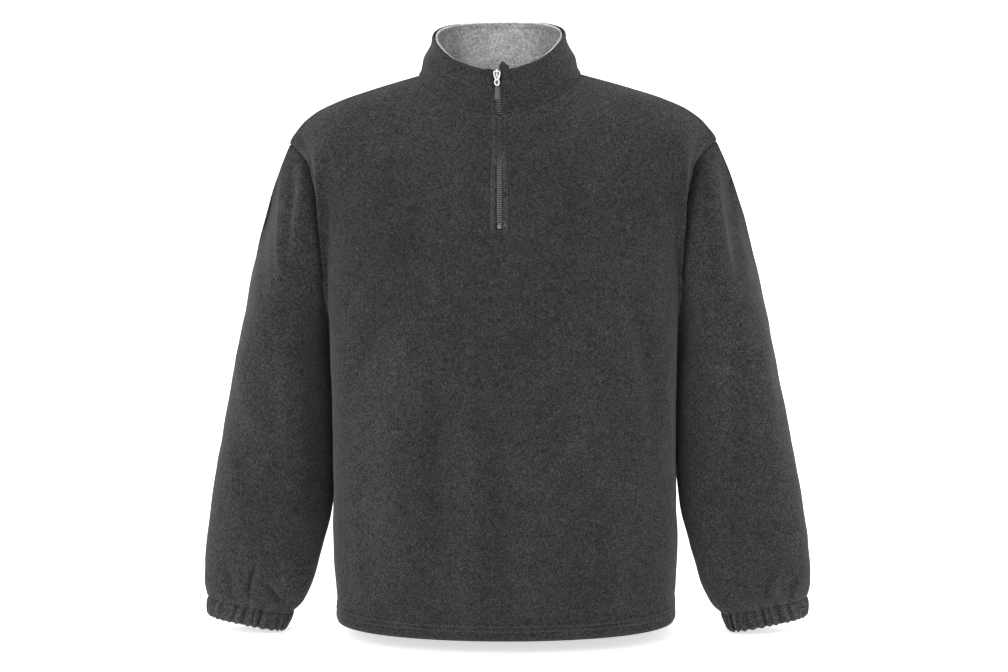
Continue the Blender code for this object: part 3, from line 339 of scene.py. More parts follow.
OVERLAP = 0.0003  # the post reaches this far into both plates
RIDGE_LOOP = {"up": (-0.0080, -0.0050, -0.0022), "half": (0.0007, 0.0011, 0.0010)}
RIDGE_TOP = 0.0013  # the ridge cast on the front plate, below the bail
BAIL_RADIUS, BAIL_WIRE = 0.0016, 0.00052
BAIL_SHIFTS = (-0.0005, 0.0, 0.0005)  # three wires side by side make the bail's flat band
PLATE_ROUND, BACK_ROUND, POST_ROUND, RIDGE_ROUND, TAB_ROUND = 0.0005, 0.0004, 0.0001, 0.0002, 0.0004
HINGE_OUT = 0.00215
STIRRUP_OUTER = {
    "up": (-0.0112, -0.0100, -0.0040, 0.0, 0.0007),
    "half": (0.0026, 0.0029, 0.0043, 0.0049, 0.0047),
}
STIRRUP_INNER = {"up": (-0.0096, -0.0060, -0.0003), "half": (0.0009, 0.0019, 0.0033)}
EYE_DOWN, EYE_INNER, EYE_OUTER = 0.0136, (0.0018, 0.0027), (0.0035, 0.0044)
STIRRUP_THICK = 0.0011
HANGING = ((1.0, 0.0, 0.0), (0.0, 0.0, 1.0), (0.0, -1.0, 0.0))  # the pull's across, up and out
TAB_OUTLINE = {
    "up": (-0.0345, -0.0341, -0.0330, -0.0260, -0.0196, -0.0178),
    "half": (0.0020, 0.0026, 0.0029, 0.0026, 0.0023, 0.0018),
}
TAB_THICK, TAB_CROWN = 0.0014, 0.0010
METAL_SHARP, TAB_SHARP = 50, 60  # edges that turn by more degrees than this stay sharp

# --- stage ---
FLOOR_BELOW = 0.0015  # the floor lies this far below the garment
SWEEP = (-6.0, 5.2, 7.0, 1.2, 6.0)  # the paper's near and far ends, half width, bend and height
LIGHTS = (  # name, place, size, and share of the key light's power
    ("key_light", (-1.6, -2.2, 1.3), 1.6, 1.0),
    ("fill_light", (1.9, -1.8, 0.6), 1.8, 0.22),
    ("top_light", (0.0, 0.3, 2.0), 1.6, 0.7),
)


# ===== the curves behind every piece =====
def smooth(table, key, column, at):
    """A column of a table read at any place: cubic pieces whose slopes are the table's own."""
    xs = np.asarray(table[key], float)
    ys = np.asarray(table[column], float)
    slopes = np.gradient(ys, xs)
    at = np.clip(np.asarray(at, float), xs[0], xs[-1])
    i = np.clip(np.searchsorted(xs, at, side="right") - 1, 0, len(xs) - 2)
    span = xs[i + 1] - xs[i]
    return hermite(ys[i], slopes[i] * span, ys[i + 1], slopes[i + 1] * span, (at - xs[i]) / span)


def hermite(start, leave, end, arrive, t):
    """Cubic from start to end that leaves and arrives along the given directions."""
    return (
        (2 * t**3 - 3 * t**2 + 1) * start
        + (t**3 - 2 * t**2 + t) * leave
        + (3 * t**2 - 2 * t**3) * end
        + (t**3 - t**2) * arrive
    )


def unit(vectors):
    """Vectors divided by their own lengths."""
    return vectors / np.maximum(np.linalg.norm(vectors, axis=-1, keepdims=True), 1e-12)


def bell(distance, half_width):
    """A hump of height 1: e to the power of minus the squared share of the half width."""
    return np.exp(-((distance / half_width) ** 2))


def ease(value, start, end):
    """0 before start, 1 after end, and 3tt - 2ttt between."""
    t = np.clip((value - start) / (end - start), 0, 1)
    return t * t * (3 - 2 * t)


def within(value, rise, fall):
    """0 outside and 1 inside: eased up over the first stretch and down over the second."""
    return ease(value, *rise) * (1 - ease(value, *fall))


def spread(stops, steps):
    """Stations from the first stop to the last, evenly spaced in each stretch."""
    parts = [
        np.linspace(low, high, count, endpoint=False)
        for low, high, count in zip(stops[:-1], stops[1:], steps)
    ]
    return np.concatenate([*parts, [stops[-1]]])


def full_turn(count):
    """Angles evenly round a circle, the last short of the first."""
    return np.linspace(0, 2 * math.pi, count, endpoint=False)


def between(at, run, points):
    """Points or directions read at distances along a path, straight between its own."""
    return np.stack([np.interp(at, run, points[:, axis]) for axis in range(3)], -1)


def smooth_points(table, key, at):
    """Points from a table's three columns of coordinates."""
    return np.stack([smooth(table, key, axis, at) for axis in "xyz"], -1)


def signed_power(value, power):
    """A power of the size, with the sign kept."""
    return np.sign(value) * np.abs(value) ** power


# ===== forms of the cloth pieces =====
def torso_outline(share, power, flat):
    """Half a torso section of unit size: a squared ellipse, flattened by a shallow arc."""
    angle = np.abs(share) * math.pi / 2
    radius = (np.sin(angle) ** power + np.cos(angle) ** power) ** (-1 / power)
    across = radius * np.sin(angle)
    return across * np.sign(share), flat * radius * np.cos(angle) + (1 - flat) * (1 - across**2)


def lower_panel(share, level, front):
    """Torso sections stacked from the hem (level 0) to the underarm (level 1)."""
    power, flat = (FRONT_POWER, FRONT_FLAT) if front else (BACK_POWER, BACK_FLAT)
    across, depth = torso_outline(share, power, flat)
    side = "front" if front else "back"
    outward = -1.0 if front else 1.0
    x = smooth(TORSO, "level", "half_width", level) * across
    y = SIDE_Y + outward * smooth(TORSO, "level", side + "_depth", level) * depth
    z = smooth(TORSO, "level", "side_z", level)
    z = z + smooth(TORSO, "level", side + "_dip", level) * depth
    return np.stack(np.broadcast_arrays(x, y, z), -1)


def upper_panel(share, rise, front):
    """Cubics from the underarm section (rise 0) over the chest to the ridge line, cut at the
    neckline or the shoulder seam (rise 1)."""
    start = lower_panel(share, np.ones_like(share), front)
    size, sign = np.abs(share), np.sign(share)
    end = smooth_points(RIDGE, "share", size)
    end[..., 0] *= sign
    lowest = NECK_RISE_FRONT if front else NECK_RISE_BACK
    inside = np.clip(1 - (size / NECK_SHARE) ** NECK_ROUNDNESS, 0, 1)
    rise = rise - (1 - lowest) * inside ** (1 / NECK_ROUNDNESS) * rise**2
    arrive = smooth_points(ARRIVE_FRONT if front else ARRIVE_BACK, "share", size)
    arrive[..., 0] *= sign
    edge = size**ARMHOLE_TIGHTNESS
    reach = -ARMHOLE_REACH_FRONT if front else ARMHOLE_REACH_BACK
    leave = np.stack([0 * size, reach * edge, RISE + (RISE_AT_SEAM - RISE) * edge], -1)
    points = hermite(start, leave, end, arrive, rise[..., None])
    if front:
        fold = bell(size - FOLD_SHARE, FOLD_WIDTH) * np.sin(math.pi * rise) ** 2
        points[..., 0] += sign * FOLD_OUT * fold
        points[..., 1] -= FOLD_FORWARD * fold
    points[..., 0] += NECK_SHIFT * rise**2 * (1 - size**2)
    return points


def panel_form(share, height, front):
    """Hem at height 0, underarm at 1, neckline or shoulder at 2. Near 1 the form is an average
    over a short stretch of height, which hides where the two formulas meet."""
    reach = UNDERARM_SOFT * bell(height - 1, UNDERARM_BAND) * (1 - np.abs(share) ** 12)
    total = 0
    for step, weight in ((-1.0, 1), (-0.5, 4), (0.0, 6), (0.5, 4), (1.0, 1)):
        at = np.clip(height + step * reach, 0, 2)
        low = lower_panel(share, np.minimum(at, 1), front)
        high = upper_panel(share, np.maximum(at - 1, 0), front)
        total = total + weight / 16 * np.where((at < 1)[..., None], low, high)
    return total


def sleeve_section(share, level):
    """A squared ellipse round the arm. Share 0 is nearest the body, 0.25 front, 0.5 outside."""
    angle = 2 * math.pi * share
    inner = smooth(SLEEVE, "level", "inner_x", level)
    outer = smooth(SLEEVE, "level", "outer_x", level)
    power = smooth(SLEEVE, "level", "power", level)
    radius = (np.abs(np.cos(angle)) ** power + np.abs(np.sin(angle)) ** power) ** (-1 / power)
    across = -(outer - inner) / 2 * radius * np.cos(angle)
    depth = smooth(SLEEVE, "level", "half_depth", level)
    y = smooth(SLEEVE, "level", "centre_y", level) - depth * radius * np.sin(angle)
    tilt = np.tan(np.radians(smooth(SLEEVE, "level", "tilt", level)))
    z = smooth(SLEEVE, "level", "z", level) + across * tilt
    return np.stack(np.broadcast_arrays((inner + outer) / 2 + across, y, z), -1)


def sleeve_cap(armhole, share, fall):
    """Cubics from the armhole ring (fall 0) down to the upper arm's section (fall 1)."""
    end = sleeve_section(share, 0 * share)
    leave = smooth_points(SLEEVE_LEAVE, "share", share)
    settle = np.minimum(SLEEVE_SETTLE, SLEEVE_SETTLE_REACH * np.abs(armhole[:, 2] - end[:, 2]))
    splay = SLEEVE_SPLAY * settle * np.sin(math.pi * share) ** 2
    down = np.stack([splay, 0 * share, -settle], -1)
    return hermite(armhole, leave, end, down, fall[:, None, None])


def collar_form(angle, height):
    """Cubics from the neckline to the collar's top edge: degrees from the centre front, and
    height 0 to 1, past which the cloth goes straight on."""
    size = np.minimum(angle, 360 - angle)
    side = np.where(angle < 180, 1.0, -1.0)
    share = side * NECK_SHARE * np.sin(np.radians(size))
    whole = np.ones_like(share)
    in_front = (size < 90)[..., None]
    base = np.where(in_front, upper_panel(share, whole, True), upper_panel(share, whole, False))
    top = smooth_points(COLLAR_TOP, "angle", size)
    top[..., 0] = top[..., 0] * side + NECK_SHIFT
    lean = {name: smooth(COLLAR_LEAN, "angle", name, size)[..., None] for name in COLLAR_LEAN}
    turn = np.radians(size)
    out = np.stack([side * np.sin(turn), -np.cos(turn), 0 * turn], -1)
    up = np.array([0.0, 0.0, 1.0])
    leave = out * lean["leave_out"] + up * lean["leave_up"]
    arrive = out * lean["arrive_out"] + up * lean["arrive_up"]
    height = np.asarray(height)[..., None]
    beyond = np.maximum(height - 1, 0)
    return hermite(base, leave, top, arrive, height - beyond) + beyond * arrive


# ===== grids, distances and directions =====
def grid_normals(grid, closed=False):
    """Outward unit normals: the cross product of the grid's steps along and up."""
    ring = np.concatenate([grid[:, -2:-1], grid, grid[:, 1:2]], 1) if closed else grid
    along = np.gradient(ring, axis=1)
    along = along[:, 1:-1] if closed else along
    return unit(np.cross(along, np.gradient(grid, axis=0)))


def travelled(grid, axis):
    """Distance along each of the grid's lines from its first point."""
    steps = np.linalg.norm(np.diff(grid, axis=axis), axis=-1)
    start = np.zeros_like(np.take(steps, [0], axis))
    return np.concatenate([start, np.cumsum(steps, axis)], axis)


def from_edges(grid, closed=False):
    """Distances of every point from the grid's foot, top, first and last columns. A closed grid
    has no first and last column, so those are far away."""
    up, along = travelled(grid, 0), travelled(grid, 1)
    far = np.full_like(along, 1.0)
    return {
        "foot": up,
        "top": up[-1] - up,
        "first": far if closed else along,
        "last": far if closed else along[:, -1:] - along,
    }


def turn_to_seams(normals, distances, seams):
    """Directions that are the piece's own normals inside, and its seams' directions at them."""
    turned = normals
    for edge, direction in seams.items():
        share = bell(distances[edge], SEAM_TURN)[..., None]
        direction = direction[None, :] if edge in ("foot", "top") else direction[:, None]
        turned = turned * (1 - share) + direction * share
    return unit(turned)


def read(grid, rows, columns):
    """Points between the grid's own, by the shares of the four round each place."""
    low = np.clip(np.floor(rows).astype(int), 0, grid.shape[0] - 2)
    left = np.clip(np.floor(columns).astype(int), 0, grid.shape[1] - 2)
    up, along = (rows - low)[..., None], (columns - left)[..., None]
    below = grid[low, left] * (1 - along) + grid[low, left + 1] * along
    above = grid[low + 1, left] * (1 - along) + grid[low + 1, left + 1] * along
    return below * (1 - up) + above * up


def row_at(distance, wanted):
    """For each column, the row, between whole ones too, where a rising distance is the wanted."""
    below = np.clip((distance < wanted).sum(0) - 1, 0, len(distance) - 2)
    column = np.arange(distance.shape[1])
    low, high = distance[below, column], distance[below + 1, column]
    return below + np.clip((wanted - low) / (high - low), 0, 1)


# ===== reliefs: folds, seams, stitching =====
def fold_relief(across, up, folds):
    """Sum of the folds. Each is a bell across its own bowed line, leaning to one side, and dies
    away before the line's ends."""
    total = np.zeros(np.broadcast(across, up).shape)
    for *ends, bow, half_width, height in np.array(folds) / 1000:
        start = np.array(ends[:2])
        line = np.array(ends[2:]) - start
        length = np.linalg.norm(line)
        forward, right = line / length, np.array([line[1], -line[0]]) / length
        along = ((across - start[0]) * forward[0] + (up - start[1]) * forward[1]) / length
        away = (across - start[0]) * right[0] + (up - start[1]) * right[1]
        away = away - bow * 4 * along * (1 - along)
        width = half_width * (1 + FOLD_LEAN * np.tanh(away / half_width))
        total += height * bell(away, width) * np.exp(-(((along - 0.5) / FOLD_REACH) ** 4))
    return total


def unevenness(points):
    """Slight waves that no worn cloth is without: three crossed sines of unequal lengths."""
    x, y, z = np.moveaxis(points, -1, 0)
    return (
        0.00030 * np.sin(61 * x + 37 * z + 2.1 * np.sin(23 * z + 17 * y))
        + 0.00022 * np.sin(97 * z - 71 * x + 1.7 * np.sin(31 * x) + 53 * y)
        + 0.00016 * np.sin(173 * x + 129 * z + 2.3 * np.sin(47 * z) - 83 * y)
    )


def seam_lap(distance):
    """The cloth stands a little proud beside a seam, over the allowance."""
    return SEAM_LAP_HEIGHT * bell(distance - SEAM_LAP / 2, SEAM_LAP / 2)


def hem_relief(height):
    """The hem's upper edge steps in, and each row of stitches sinks in a furrow."""
    step = HEM_STEP * (1 - ease(height, *HEM_EDGE))
    furrows = sum(bell(height - row, STITCH_SINK_WIDTH) for row in HEM_STITCHES)
    return step - STITCH_SINK * furrows


def band_relief(beside, below):
    """Beside the zip the turned cloth stands proud as far as its stitching, which sinks in."""
    band = BAND_HEIGHT * (1 - ease(beside, *BAND_EDGE))
    furrow = STITCH_SINK * bell(beside - BAND_WIDTH - BAND_FURROW, STITCH_SINK_WIDTH)
    return (band - furrow) * (1 - ease(below, BAND_BELOW - BAND_END, BAND_BELOW))


def lay_cloth(grid, normals, distances, relief, thickness, shade, edges=ALL_EDGES, **more):
    """One cut piece. Its outer skin is the form plus the relief, and its inner skin lies the
    thickness behind. Near the given edges both close up on each other."""
    nearest = functools.reduce(np.minimum, [distances[edge] for edge in edges])
    closing = CLOSE_UP * bell(nearest, EDGE_REACH * np.maximum(thickness / PLAIN_WALL, 1))
    outer = grid + normals * (relief - thickness * closing / 2)[..., None]
    inner = outer - normals * (thickness * (1 - closing))[..., None]
    return piece(outer, inner, distances, normals, shade, **more)


# ===== the cut cloth =====
def panel_rows():
    """Heights of the panels' rows, and which rows are the underarm's and the zip's lower end."""
    rise = np.linspace(0, 1, RISE_SAMPLES)
    heights = upper_panel(0 * rise, rise, True)[:, 2]
    slit = float(np.interp(ZIP_BOTTOM_Z, heights, rise))
    levels = spread(LEVEL_STOPS, LEVEL_STEPS)[:-1]
    below = spread((0.0, slit - BELOW_SLIT, slit), BELOW_SLIT_STEPS)[:-1]
    above = spread((slit, slit + ABOVE_SLIT[0], *ABOVE_SLIT[1:]), ABOVE_SLIT_STEPS)
    rows = np.concatenate([levels, 1 + below, 1 + above])
    return rows, len(levels), len(levels) + len(below), slit


def neck_angles(front):
    """Column angles along half the neckline: densest beside the zip."""
    if not front:
        return spread(NECK_STOPS_BACK, NECK_STEPS_BACK)
    first = math.degrees(math.asin(SLIT_SHARE / NECK_SHARE))
    return spread((first, *NECK_STOPS_FRONT), NECK_STEPS_FRONT)


def panel_columns(front):
    """Shares of a panel's columns, in the order that makes its outside face outwards."""
    neck = NECK_SHARE * np.sin(np.radians(neck_angles(front)))
    half = np.concatenate([neck, spread(SHOULDER_STOPS, SHOULDER_STEPS)[1:]])
    if front:
        return np.concatenate([-half[::-1], half])
    return np.concatenate([half[::-1], -half[1:]])


def open_zip(grid, edges, least=0.0, margin=0.0):
    """Shifts the columns beside the zip so that its two edges stand at the gap's own width. The
    shift fades to nothing at ZIP_EASE from the middle."""
    left, right = edges
    middle = (grid[:, left, 0] + grid[:, right, 0])[:, None] / 2
    for side, edge in ((-1, left), (1, right)):
        away = side * (grid[..., 0] - middle)
        start = away[:, edge][:, None]
        half = smooth(ZIP_GAP, "z", "half", grid[:, edge, 2])[:, None] + margin
        half = np.maximum(half, least)
        beside = (away > start - 1e-9) & (away < ZIP_EASE) & (grid[..., 1] < 0)
        moved = half + (away - start) * (ZIP_EASE - half) / (ZIP_EASE - start)
        grid[..., 0] = np.where(beside, middle + side * moved, grid[..., 0])
    return grid


def ring_outward(ring):
    """Directions away from a closed ring that stands in a plane across X, at each point."""
    around = np.gradient(np.concatenate([ring[-2:-1], ring, ring[1:2]]), axis=0)[1:-1]
    outward = unit(np.cross(around, ACROSS))
    centre = (ring.min(0) + ring.max(0)) / 2
    return outward * np.sign(np.sum(outward * (ring - centre), -1, keepdims=True))


@functools.lru_cache(maxsize=1)
def cut_cloth(wall, double_wall, fold_depth):
    """All the cloth pieces: for each, its outer and inner skins, distances from its edges, the
    faces to keep and whether its columns close into a ring."""
    rows, first, slit_row, slit = panel_rows()
    forms = {}
    for name, front in (("front", True), ("back", False)):
        columns = panel_columns(front)
        share, height = np.broadcast_arrays(columns[None, :], rows[:, None])
        forms[name] = panel_form(share, height, front)
    front, back = forms["front"], forms["back"]
    centre = front.shape[1] // 2
    front[slit_row:] = open_zip(front[slit_row:].copy(), (centre - 1, centre))
    armhole = np.concatenate([front[first:, -1], back[first:, 0][::-1][1:]])
    ring = np.interp(rows[first:] - 1, (0, slit, 1), (0, RING_SHARE_AT_SLIT, 0.5))
    ring = np.concatenate([ring, 1 - ring[::-1][1:]])
    arm = sleeve_section(ring[None, :], spread(ARM_STOPS, ARM_STEPS)[:, None])
    cap = sleeve_cap(armhole, ring, spread(CAP_STOPS, CAP_STEPS)[:-1])
    sleeve = np.concatenate([cap, arm])[::-1]
    sleeve[:, -1] = sleeve[:, 0]
    angles = np.concatenate([neck_angles(True)[:-1], 180 - neck_angles(False)[::-1]])
    angles = np.concatenate([angles, 360 - angles[::-1][1:]])
    collar = collar_form(*np.broadcast_arrays(angles, spread(COLLAR_STOPS, COLLAR_STEPS)[:, None]))
    collar = open_zip(collar, (-1, 0))
    normals = {
        "front": grid_normals(front),
        "back": grid_normals(back),
        "sleeve": grid_normals(sleeve, True),
        "collar": grid_normals(collar),
    }
    seams = seam_directions(normals, armhole, first)
    count = len(rows) - first
    weights = armhole_weight(ring)
    in_front, behind = (
        np.concatenate([np.zeros(first), part])[:, None]
        for part in (weights[:count], weights[::-1][:count])
    )
    thickness = (wall, double_wall, fold_depth)
    pieces = {
        "front": lay_front(front, normals["front"], seams["front"], in_front, slit_row, *thickness),
        "back": lay_back(back, normals["back"], seams["back"], behind, *thickness),
    }
    for side, folds in (("right", RIGHT_SLEEVE_FOLDS), ("left", LEFT_SLEEVE_FOLDS)):
        pieces["sleeve_" + side] = lay_sleeve(
            sleeve, ring, normals["sleeve"], seams["sleeve"], folds, side, wall, fold_depth
        )
        pieces["cuff_" + side] = lay_cuff(side, double_wall)
    pieces["collar"] = lay_collar(collar, normals["collar"], seams["collar"], wall, fold_depth)
    pieces["collar_inner"] = lay_inner_collar(angles)
    return pieces


def seam_directions(normals, armhole, first):
    """For each piece and edge, the mean of the normals of the pieces that meet there. At the
    armhole, where panel and sleeve nearly face each other, it also leans away from the hole."""
    front, back, sleeve, collar = (normals[name] for name in ("front", "back", "sleeve", "collar"))
    neck_front, neck_back = len(neck_angles(True)), len(neck_angles(False))
    middle, half = front.shape[1] // 2, back.shape[1] // 2
    front_top, back_top = front[-1].copy(), back[-1].copy()
    shoulder = unit(front_top[middle + neck_front - 1 :] + back_top[: half - neck_back + 2][::-1])
    front_top[middle + neck_front - 1 :] = shoulder
    back_top[: half - neck_back + 2] = shoulder[::-1]
    front_top[: middle - neck_front + 1] = (shoulder * MIRROR)[::-1]
    back_top[half + neck_back - 1 :] = shoulder * MIRROR
    neck = collar[0].copy()
    right_front = slice(middle, middle + neck_front - 1)
    left_front = slice(middle - neck_front + 1, middle)
    whole_back = slice(half - neck_back + 1, half + neck_back)
    behind = slice(neck_front - 1, neck_front - 1 + 2 * neck_back - 1)
    neck[: neck_front - 1] = unit(neck[: neck_front - 1] + front[-1, right_front])
    neck[-(neck_front - 1) :] = unit(neck[-(neck_front - 1) :] + front[-1, left_front])
    neck[behind] = unit(neck[behind] + back[-1, whole_back])
    front_top[right_front], front_top[left_front] = neck[: neck_front - 1], neck[-(neck_front - 1) :]
    back_top[whole_back] = neck[behind]
    around = np.concatenate([front[first:, -1], back[first:, 0][::-1][1:]])
    around = unit(around + sleeve[-1] + ARMHOLE_LEAN * ring_outward(armhole))
    around[0] = around[-1] = (0.0, 0.0, -1.0)
    side = unit(front[:first, -1] + back[:first, 0])
    count = front.shape[0] - first
    front_last = np.concatenate([side, around[:count]])
    back_first = np.concatenate([side, around[count - 1 :][::-1]])
    wrist = sleeve[0].copy()
    wrist[:, 2] = 0
    return {
        "front": {"first": front_last * MIRROR, "last": front_last, "top": front_top},
        "back": {"first": back_first, "last": back_first * MIRROR, "top": back_top},
        "sleeve": {"foot": unit(wrist), "top": around},
        "collar": {"foot": neck},
    }


def piece(outer, inner, distances, normals, shade=0.0, closed=False, keep=None, side="right"):
    """One cut piece's arrays. A left-hand piece is mirrored, and its columns are turned round."""
    shade = shade * np.ones(outer.shape[:2])
    if side == "left":
        outer, inner, normals = ((grid * MIRROR)[:, ::-1] for grid in (outer, inner, normals))
        distances = {edge: values[:, ::-1] for edge, values in distances.items()}
        shade = shade[:, ::-1]
    if keep is None:
        keep = np.ones(np.array(outer.shape[:2]) - 1, bool)
    made = {"outer": outer, "inner": inner, "normals": normals, "distances": distances}
    return {**made, "shade": shade, "closed": closed, "keep": keep}


def panel_relief(grid, distances, weight, folds, fold_depth):
    """What both panels share: folds, slight waves, seam laps, hem, the notch at its sides, and
    the valley and ridge beside the armholes."""
    sides = np.minimum(distances["first"], distances["last"])
    seams = np.minimum(sides, distances["top"])
    loose = fold_depth * fold_relief(grid[..., 0], grid[..., 2], folds) + unevenness(grid)
    loose = loose * (1 - bell(seams, SEAM_CALM)) * ease(distances["foot"], 0.0, HEM_CALM)
    notch = HEM_NOTCH * bell(np.hypot(sides, distances["foot"] - HEM_HEIGHT), HEM_NOTCH_SIZE)
    ridge = ARMHOLE_RIDGE * weight * bell(sides - ARMHOLE_RIDGE_AT, ARMHOLE_RIDGE_WIDTH)
    sunk = armhole_sink(sides, weight, PANEL_SINK_WIDTH)
    relief = loose + ridge + sunk + hem_relief(distances["foot"]) - notch
    tip = TIP_RISE * bell(distances["top"], TIP_LONG) * bell(sides - TIP_AT, TIP_WIDTH)
    return relief + tip + seam_lap(distances["top"]) + seam_lap(sides) * (1 - weight)


def fold_shade(grid, folds):
    """Troughs hold less light than ridges: a tone that follows the folds' own relief."""
    return FOLD_TONE * np.tanh(fold_relief(grid[..., 0], grid[..., 2], folds) / FOLD_TONE_HEIGHT)


def painted_side_highlight(grid, normals):
    """Painted highlight: the torso's side fold is lighter just before it turns away, below the armholes."""
    turning = bell(normals[..., 1] + RIM_FACES, RIM_TURN)
    return RIM_HIGHLIGHT * SIDE_HIGHLIGHT_SHARE * turning * ease(-grid[..., 2], *RIM_FROM)


def panel_shade(grid, distances, weight):
    """Painted shade in the armholes' valleys and below the shoulders, painted highlight over the
    ridge, the hem's rows and the shoulder."""
    sides = np.minimum(distances["first"], distances["last"])
    valley = -VALLEY_SHADE * weight * bell(sides, PANEL_VALLEY)
    # painted highlight on the panel's fold beside the armhole
    ridge = RIM_HIGHLIGHT * weight * bell(sides - ARMHOLE_RIDGE_AT + RIM_BEFORE, RIM_WIDTH)
    # painted highlight along the hem's rows and the shoulder seam
    rows = sum(bell(distances["foot"] - row, ROW_TONE_WIDTH) for row in HEM_STITCHES)
    # painted shade below the shoulders
    low = LOW_TONE * ease(-grid[..., 2], *LOW_FROM)
    shoulder = bell(distances["top"] - SHOULDER_TONE_AT, SEAM_TONE_WIDTH)
    return low + valley + ridge + SEAM_HIGHLIGHT * (ROW_TONE * rows + shoulder)


def seam_highlight(distance):
    """Painted highlight: lighter over the allowance that lies under the cloth beside a seam."""
    return SEAM_HIGHLIGHT * bell(distance - SEAM_TONE_AT, SEAM_TONE_WIDTH)


def hem_thickness(height, wall, double_wall):
    """Cloth is doubled as far up as the hem is turned."""
    return double_wall + (wall - double_wall) * ease(height, *HEM_THINS)


def lay_front(grid, normals, seams, weight, slit_row, wall, double_wall, fold_depth):
    """The front panel, with its zip opening and the bands beside it."""
    distances = from_edges(grid)
    centre = grid.shape[1] // 2
    along = travelled(grid, 1)
    from_left, from_right = (np.abs(along - along[:, [edge]]) for edge in (centre - 1, centre))
    beside = np.minimum(from_left, from_right)
    beside[:, centre - 1 : centre + 1] = 0
    up = distances["foot"][:, centre]
    below = np.maximum(up[slit_row] - up, 0)[:, None]
    distances["zip"] = np.hypot(beside, below)
    directions = turn_to_seams(normals, distances, seams)
    relief = panel_relief(grid, distances, weight, FRONT_FOLDS, fold_depth)
    relief = relief + band_relief(beside, below)
    thickness = hem_thickness(distances["foot"], wall, double_wall)
    keep = np.ones((grid.shape[0] - 1, grid.shape[1] - 1), bool)
    keep[slit_row:, centre - 1] = False
    # where the bands' painted highlight lies
    band = (1 - ease(beside, BAND_EDGE[0], BAND_WIDTH)) * (1 - ease(below, BAND_FADE, BAND_BELOW))
    lit = 1 - ease(grid[..., 2], *BAND_LIT)
    shade = panel_shade(grid, distances, weight) + fold_shade(grid, FRONT_FOLDS)
    # painted highlight on the torso's side fold
    shade = shade + painted_side_highlight(grid, normals)
    shade = shade + BAND_HIGHLIGHT * band * lit * ease(beside, *BAND_TONE_FROM)
    edges = (*ALL_EDGES, "zip")
    return lay_cloth(grid, directions, distances, relief, thickness, shade, edges, keep=keep)


def lay_back(grid, normals, seams, weight, wall, double_wall, fold_depth):
    """The back panel."""
    distances = from_edges(grid)
    directions = turn_to_seams(normals, distances, seams)
    relief = panel_relief(grid, distances, weight, BACK_FOLDS, fold_depth)
    thickness = hem_thickness(distances["foot"], wall, double_wall)
    shade = panel_shade(grid, distances, weight) + fold_shade(grid, BACK_FOLDS)
    return lay_cloth(grid, directions, distances, relief, thickness, shade)


def gather_relief(degrees):
    """Uneven furrows round a gathered edge, a bell for each."""
    total = 0
    for middle, half_width, depth in GATHERS:
        away = (degrees - middle + 180) % 360 - 180
        total = total - depth * bell(away, half_width)
    return total


def tucks(degrees):
    """Fine tucks round a cuff: a sine whose step wanders, stronger on some sides than on others."""
    turn = np.radians(degrees)
    wander = 1.1 * np.sin(3 * turn + 0.4) + 0.7 * np.sin(7 * turn + 2.0)
    return np.sin(TUCKS_ROUND * turn + wander) * (0.7 + 0.3 * np.sin(2 * turn + 1.0))


def gather_shade(degrees):
    """Painted highlight between the furrows and painted shade in them."""
    return GATHER_TONE * (GATHER_LIT + GATHER_LIT * gather_relief(degrees) / GATHER_DEEP)


def armhole_sink(distance, weight, width):
    """The armhole's seam lies in a valley, deepest where the weight is 1."""
    return -ARMHOLE_SINK * weight * bell(distance, width)


def armhole_weight(ring):
    """How deep the valley is round the armhole: full in front, less behind, none at the top and
    at the underarm."""
    return within(ring, *ARMHOLE_FRONT) + ARMHOLE_SINK_BEHIND * within(ring, *ARMHOLE_BACK)


def lay_sleeve(grid, ring, normals, seams, folds, side, wall, fold_depth):
    """A sleeve: drapes below its cap, creases at the elbow and above the cuff, and gathers that
    run up from the cuff's seam."""
    distances = from_edges(grid, True)
    directions = turn_to_seams(normals, distances, seams)
    degrees = np.broadcast_to(ring * 360, grid.shape[:2])
    across, up = grid[..., 0], grid[..., 2]
    faces_front, faces_back = (ease(sign * normals[..., 1], *FACING) for sign in (-1, 1))
    loose = faces_front * fold_relief(across, up, folds["front"])
    loose = fold_depth * (loose + faces_back * fold_relief(across, up, folds["back"]))
    ends = np.minimum(distances["top"], distances["foot"] + 0.004)
    relief = (loose + unevenness(grid + SLEEVE_WAVES[side])) * (1 - bell(ends, SEAM_CALM))
    turned = degrees - (GATHERS_TURN if side == "right" else 0.0)
    gathers = gather_relief(turned) * (1 - ease(distances["foot"], 0.0, GATHER_CLIMB))
    relief = relief + gathers * (1 - bell(distances["foot"], SEAM_SHUT))
    inside = np.minimum(degrees, 360 - degrees)
    rests = REST_OUT * bell(up + REST_Z, REST_HEIGHT)
    rests = rests + REST_CLOSE_OUT * bell(up + REST_CLOSE_Z, REST_CLOSE_HEIGHT)
    relief = relief + rests * bell(inside, REST_DEGREES) + seam_lap(distances["foot"])
    relief = relief - UNDERARM_SINK * bell(inside, UNDERARM_DEGREES)
    weight = armhole_weight(ring)[None, :]
    relief = relief + armhole_sink(distances["top"], weight, SLEEVE_SINK_WIDTH)
    shade = -VALLEY_SHADE * weight * bell(distances["top"], SLEEVE_VALLEY)
    # painted highlight over the cuff's seam
    shade = shade + seam_highlight(distances["foot"])
    # painted shade where the sleeve hangs beside the body
    shade = shade - BESIDE_BODY_SHADE * within(-up, *HIDDEN) * bell(inside, BESIDE_DEGREES)
    shade = shade + faces_front * fold_shade(grid, folds["front"])
    shade = shade + faces_back * fold_shade(grid, folds["back"])
    # painted light and shade of the gathers, at half strength
    shade = shade + 0.5 * gather_shade(turned) * (1 - ease(distances["foot"], 0.0, GATHER_CLIMB))
    more = {"closed": True, "side": side}
    return lay_cloth(grid, directions, distances, relief, wall, shade, TUBE_ENDS, **more)


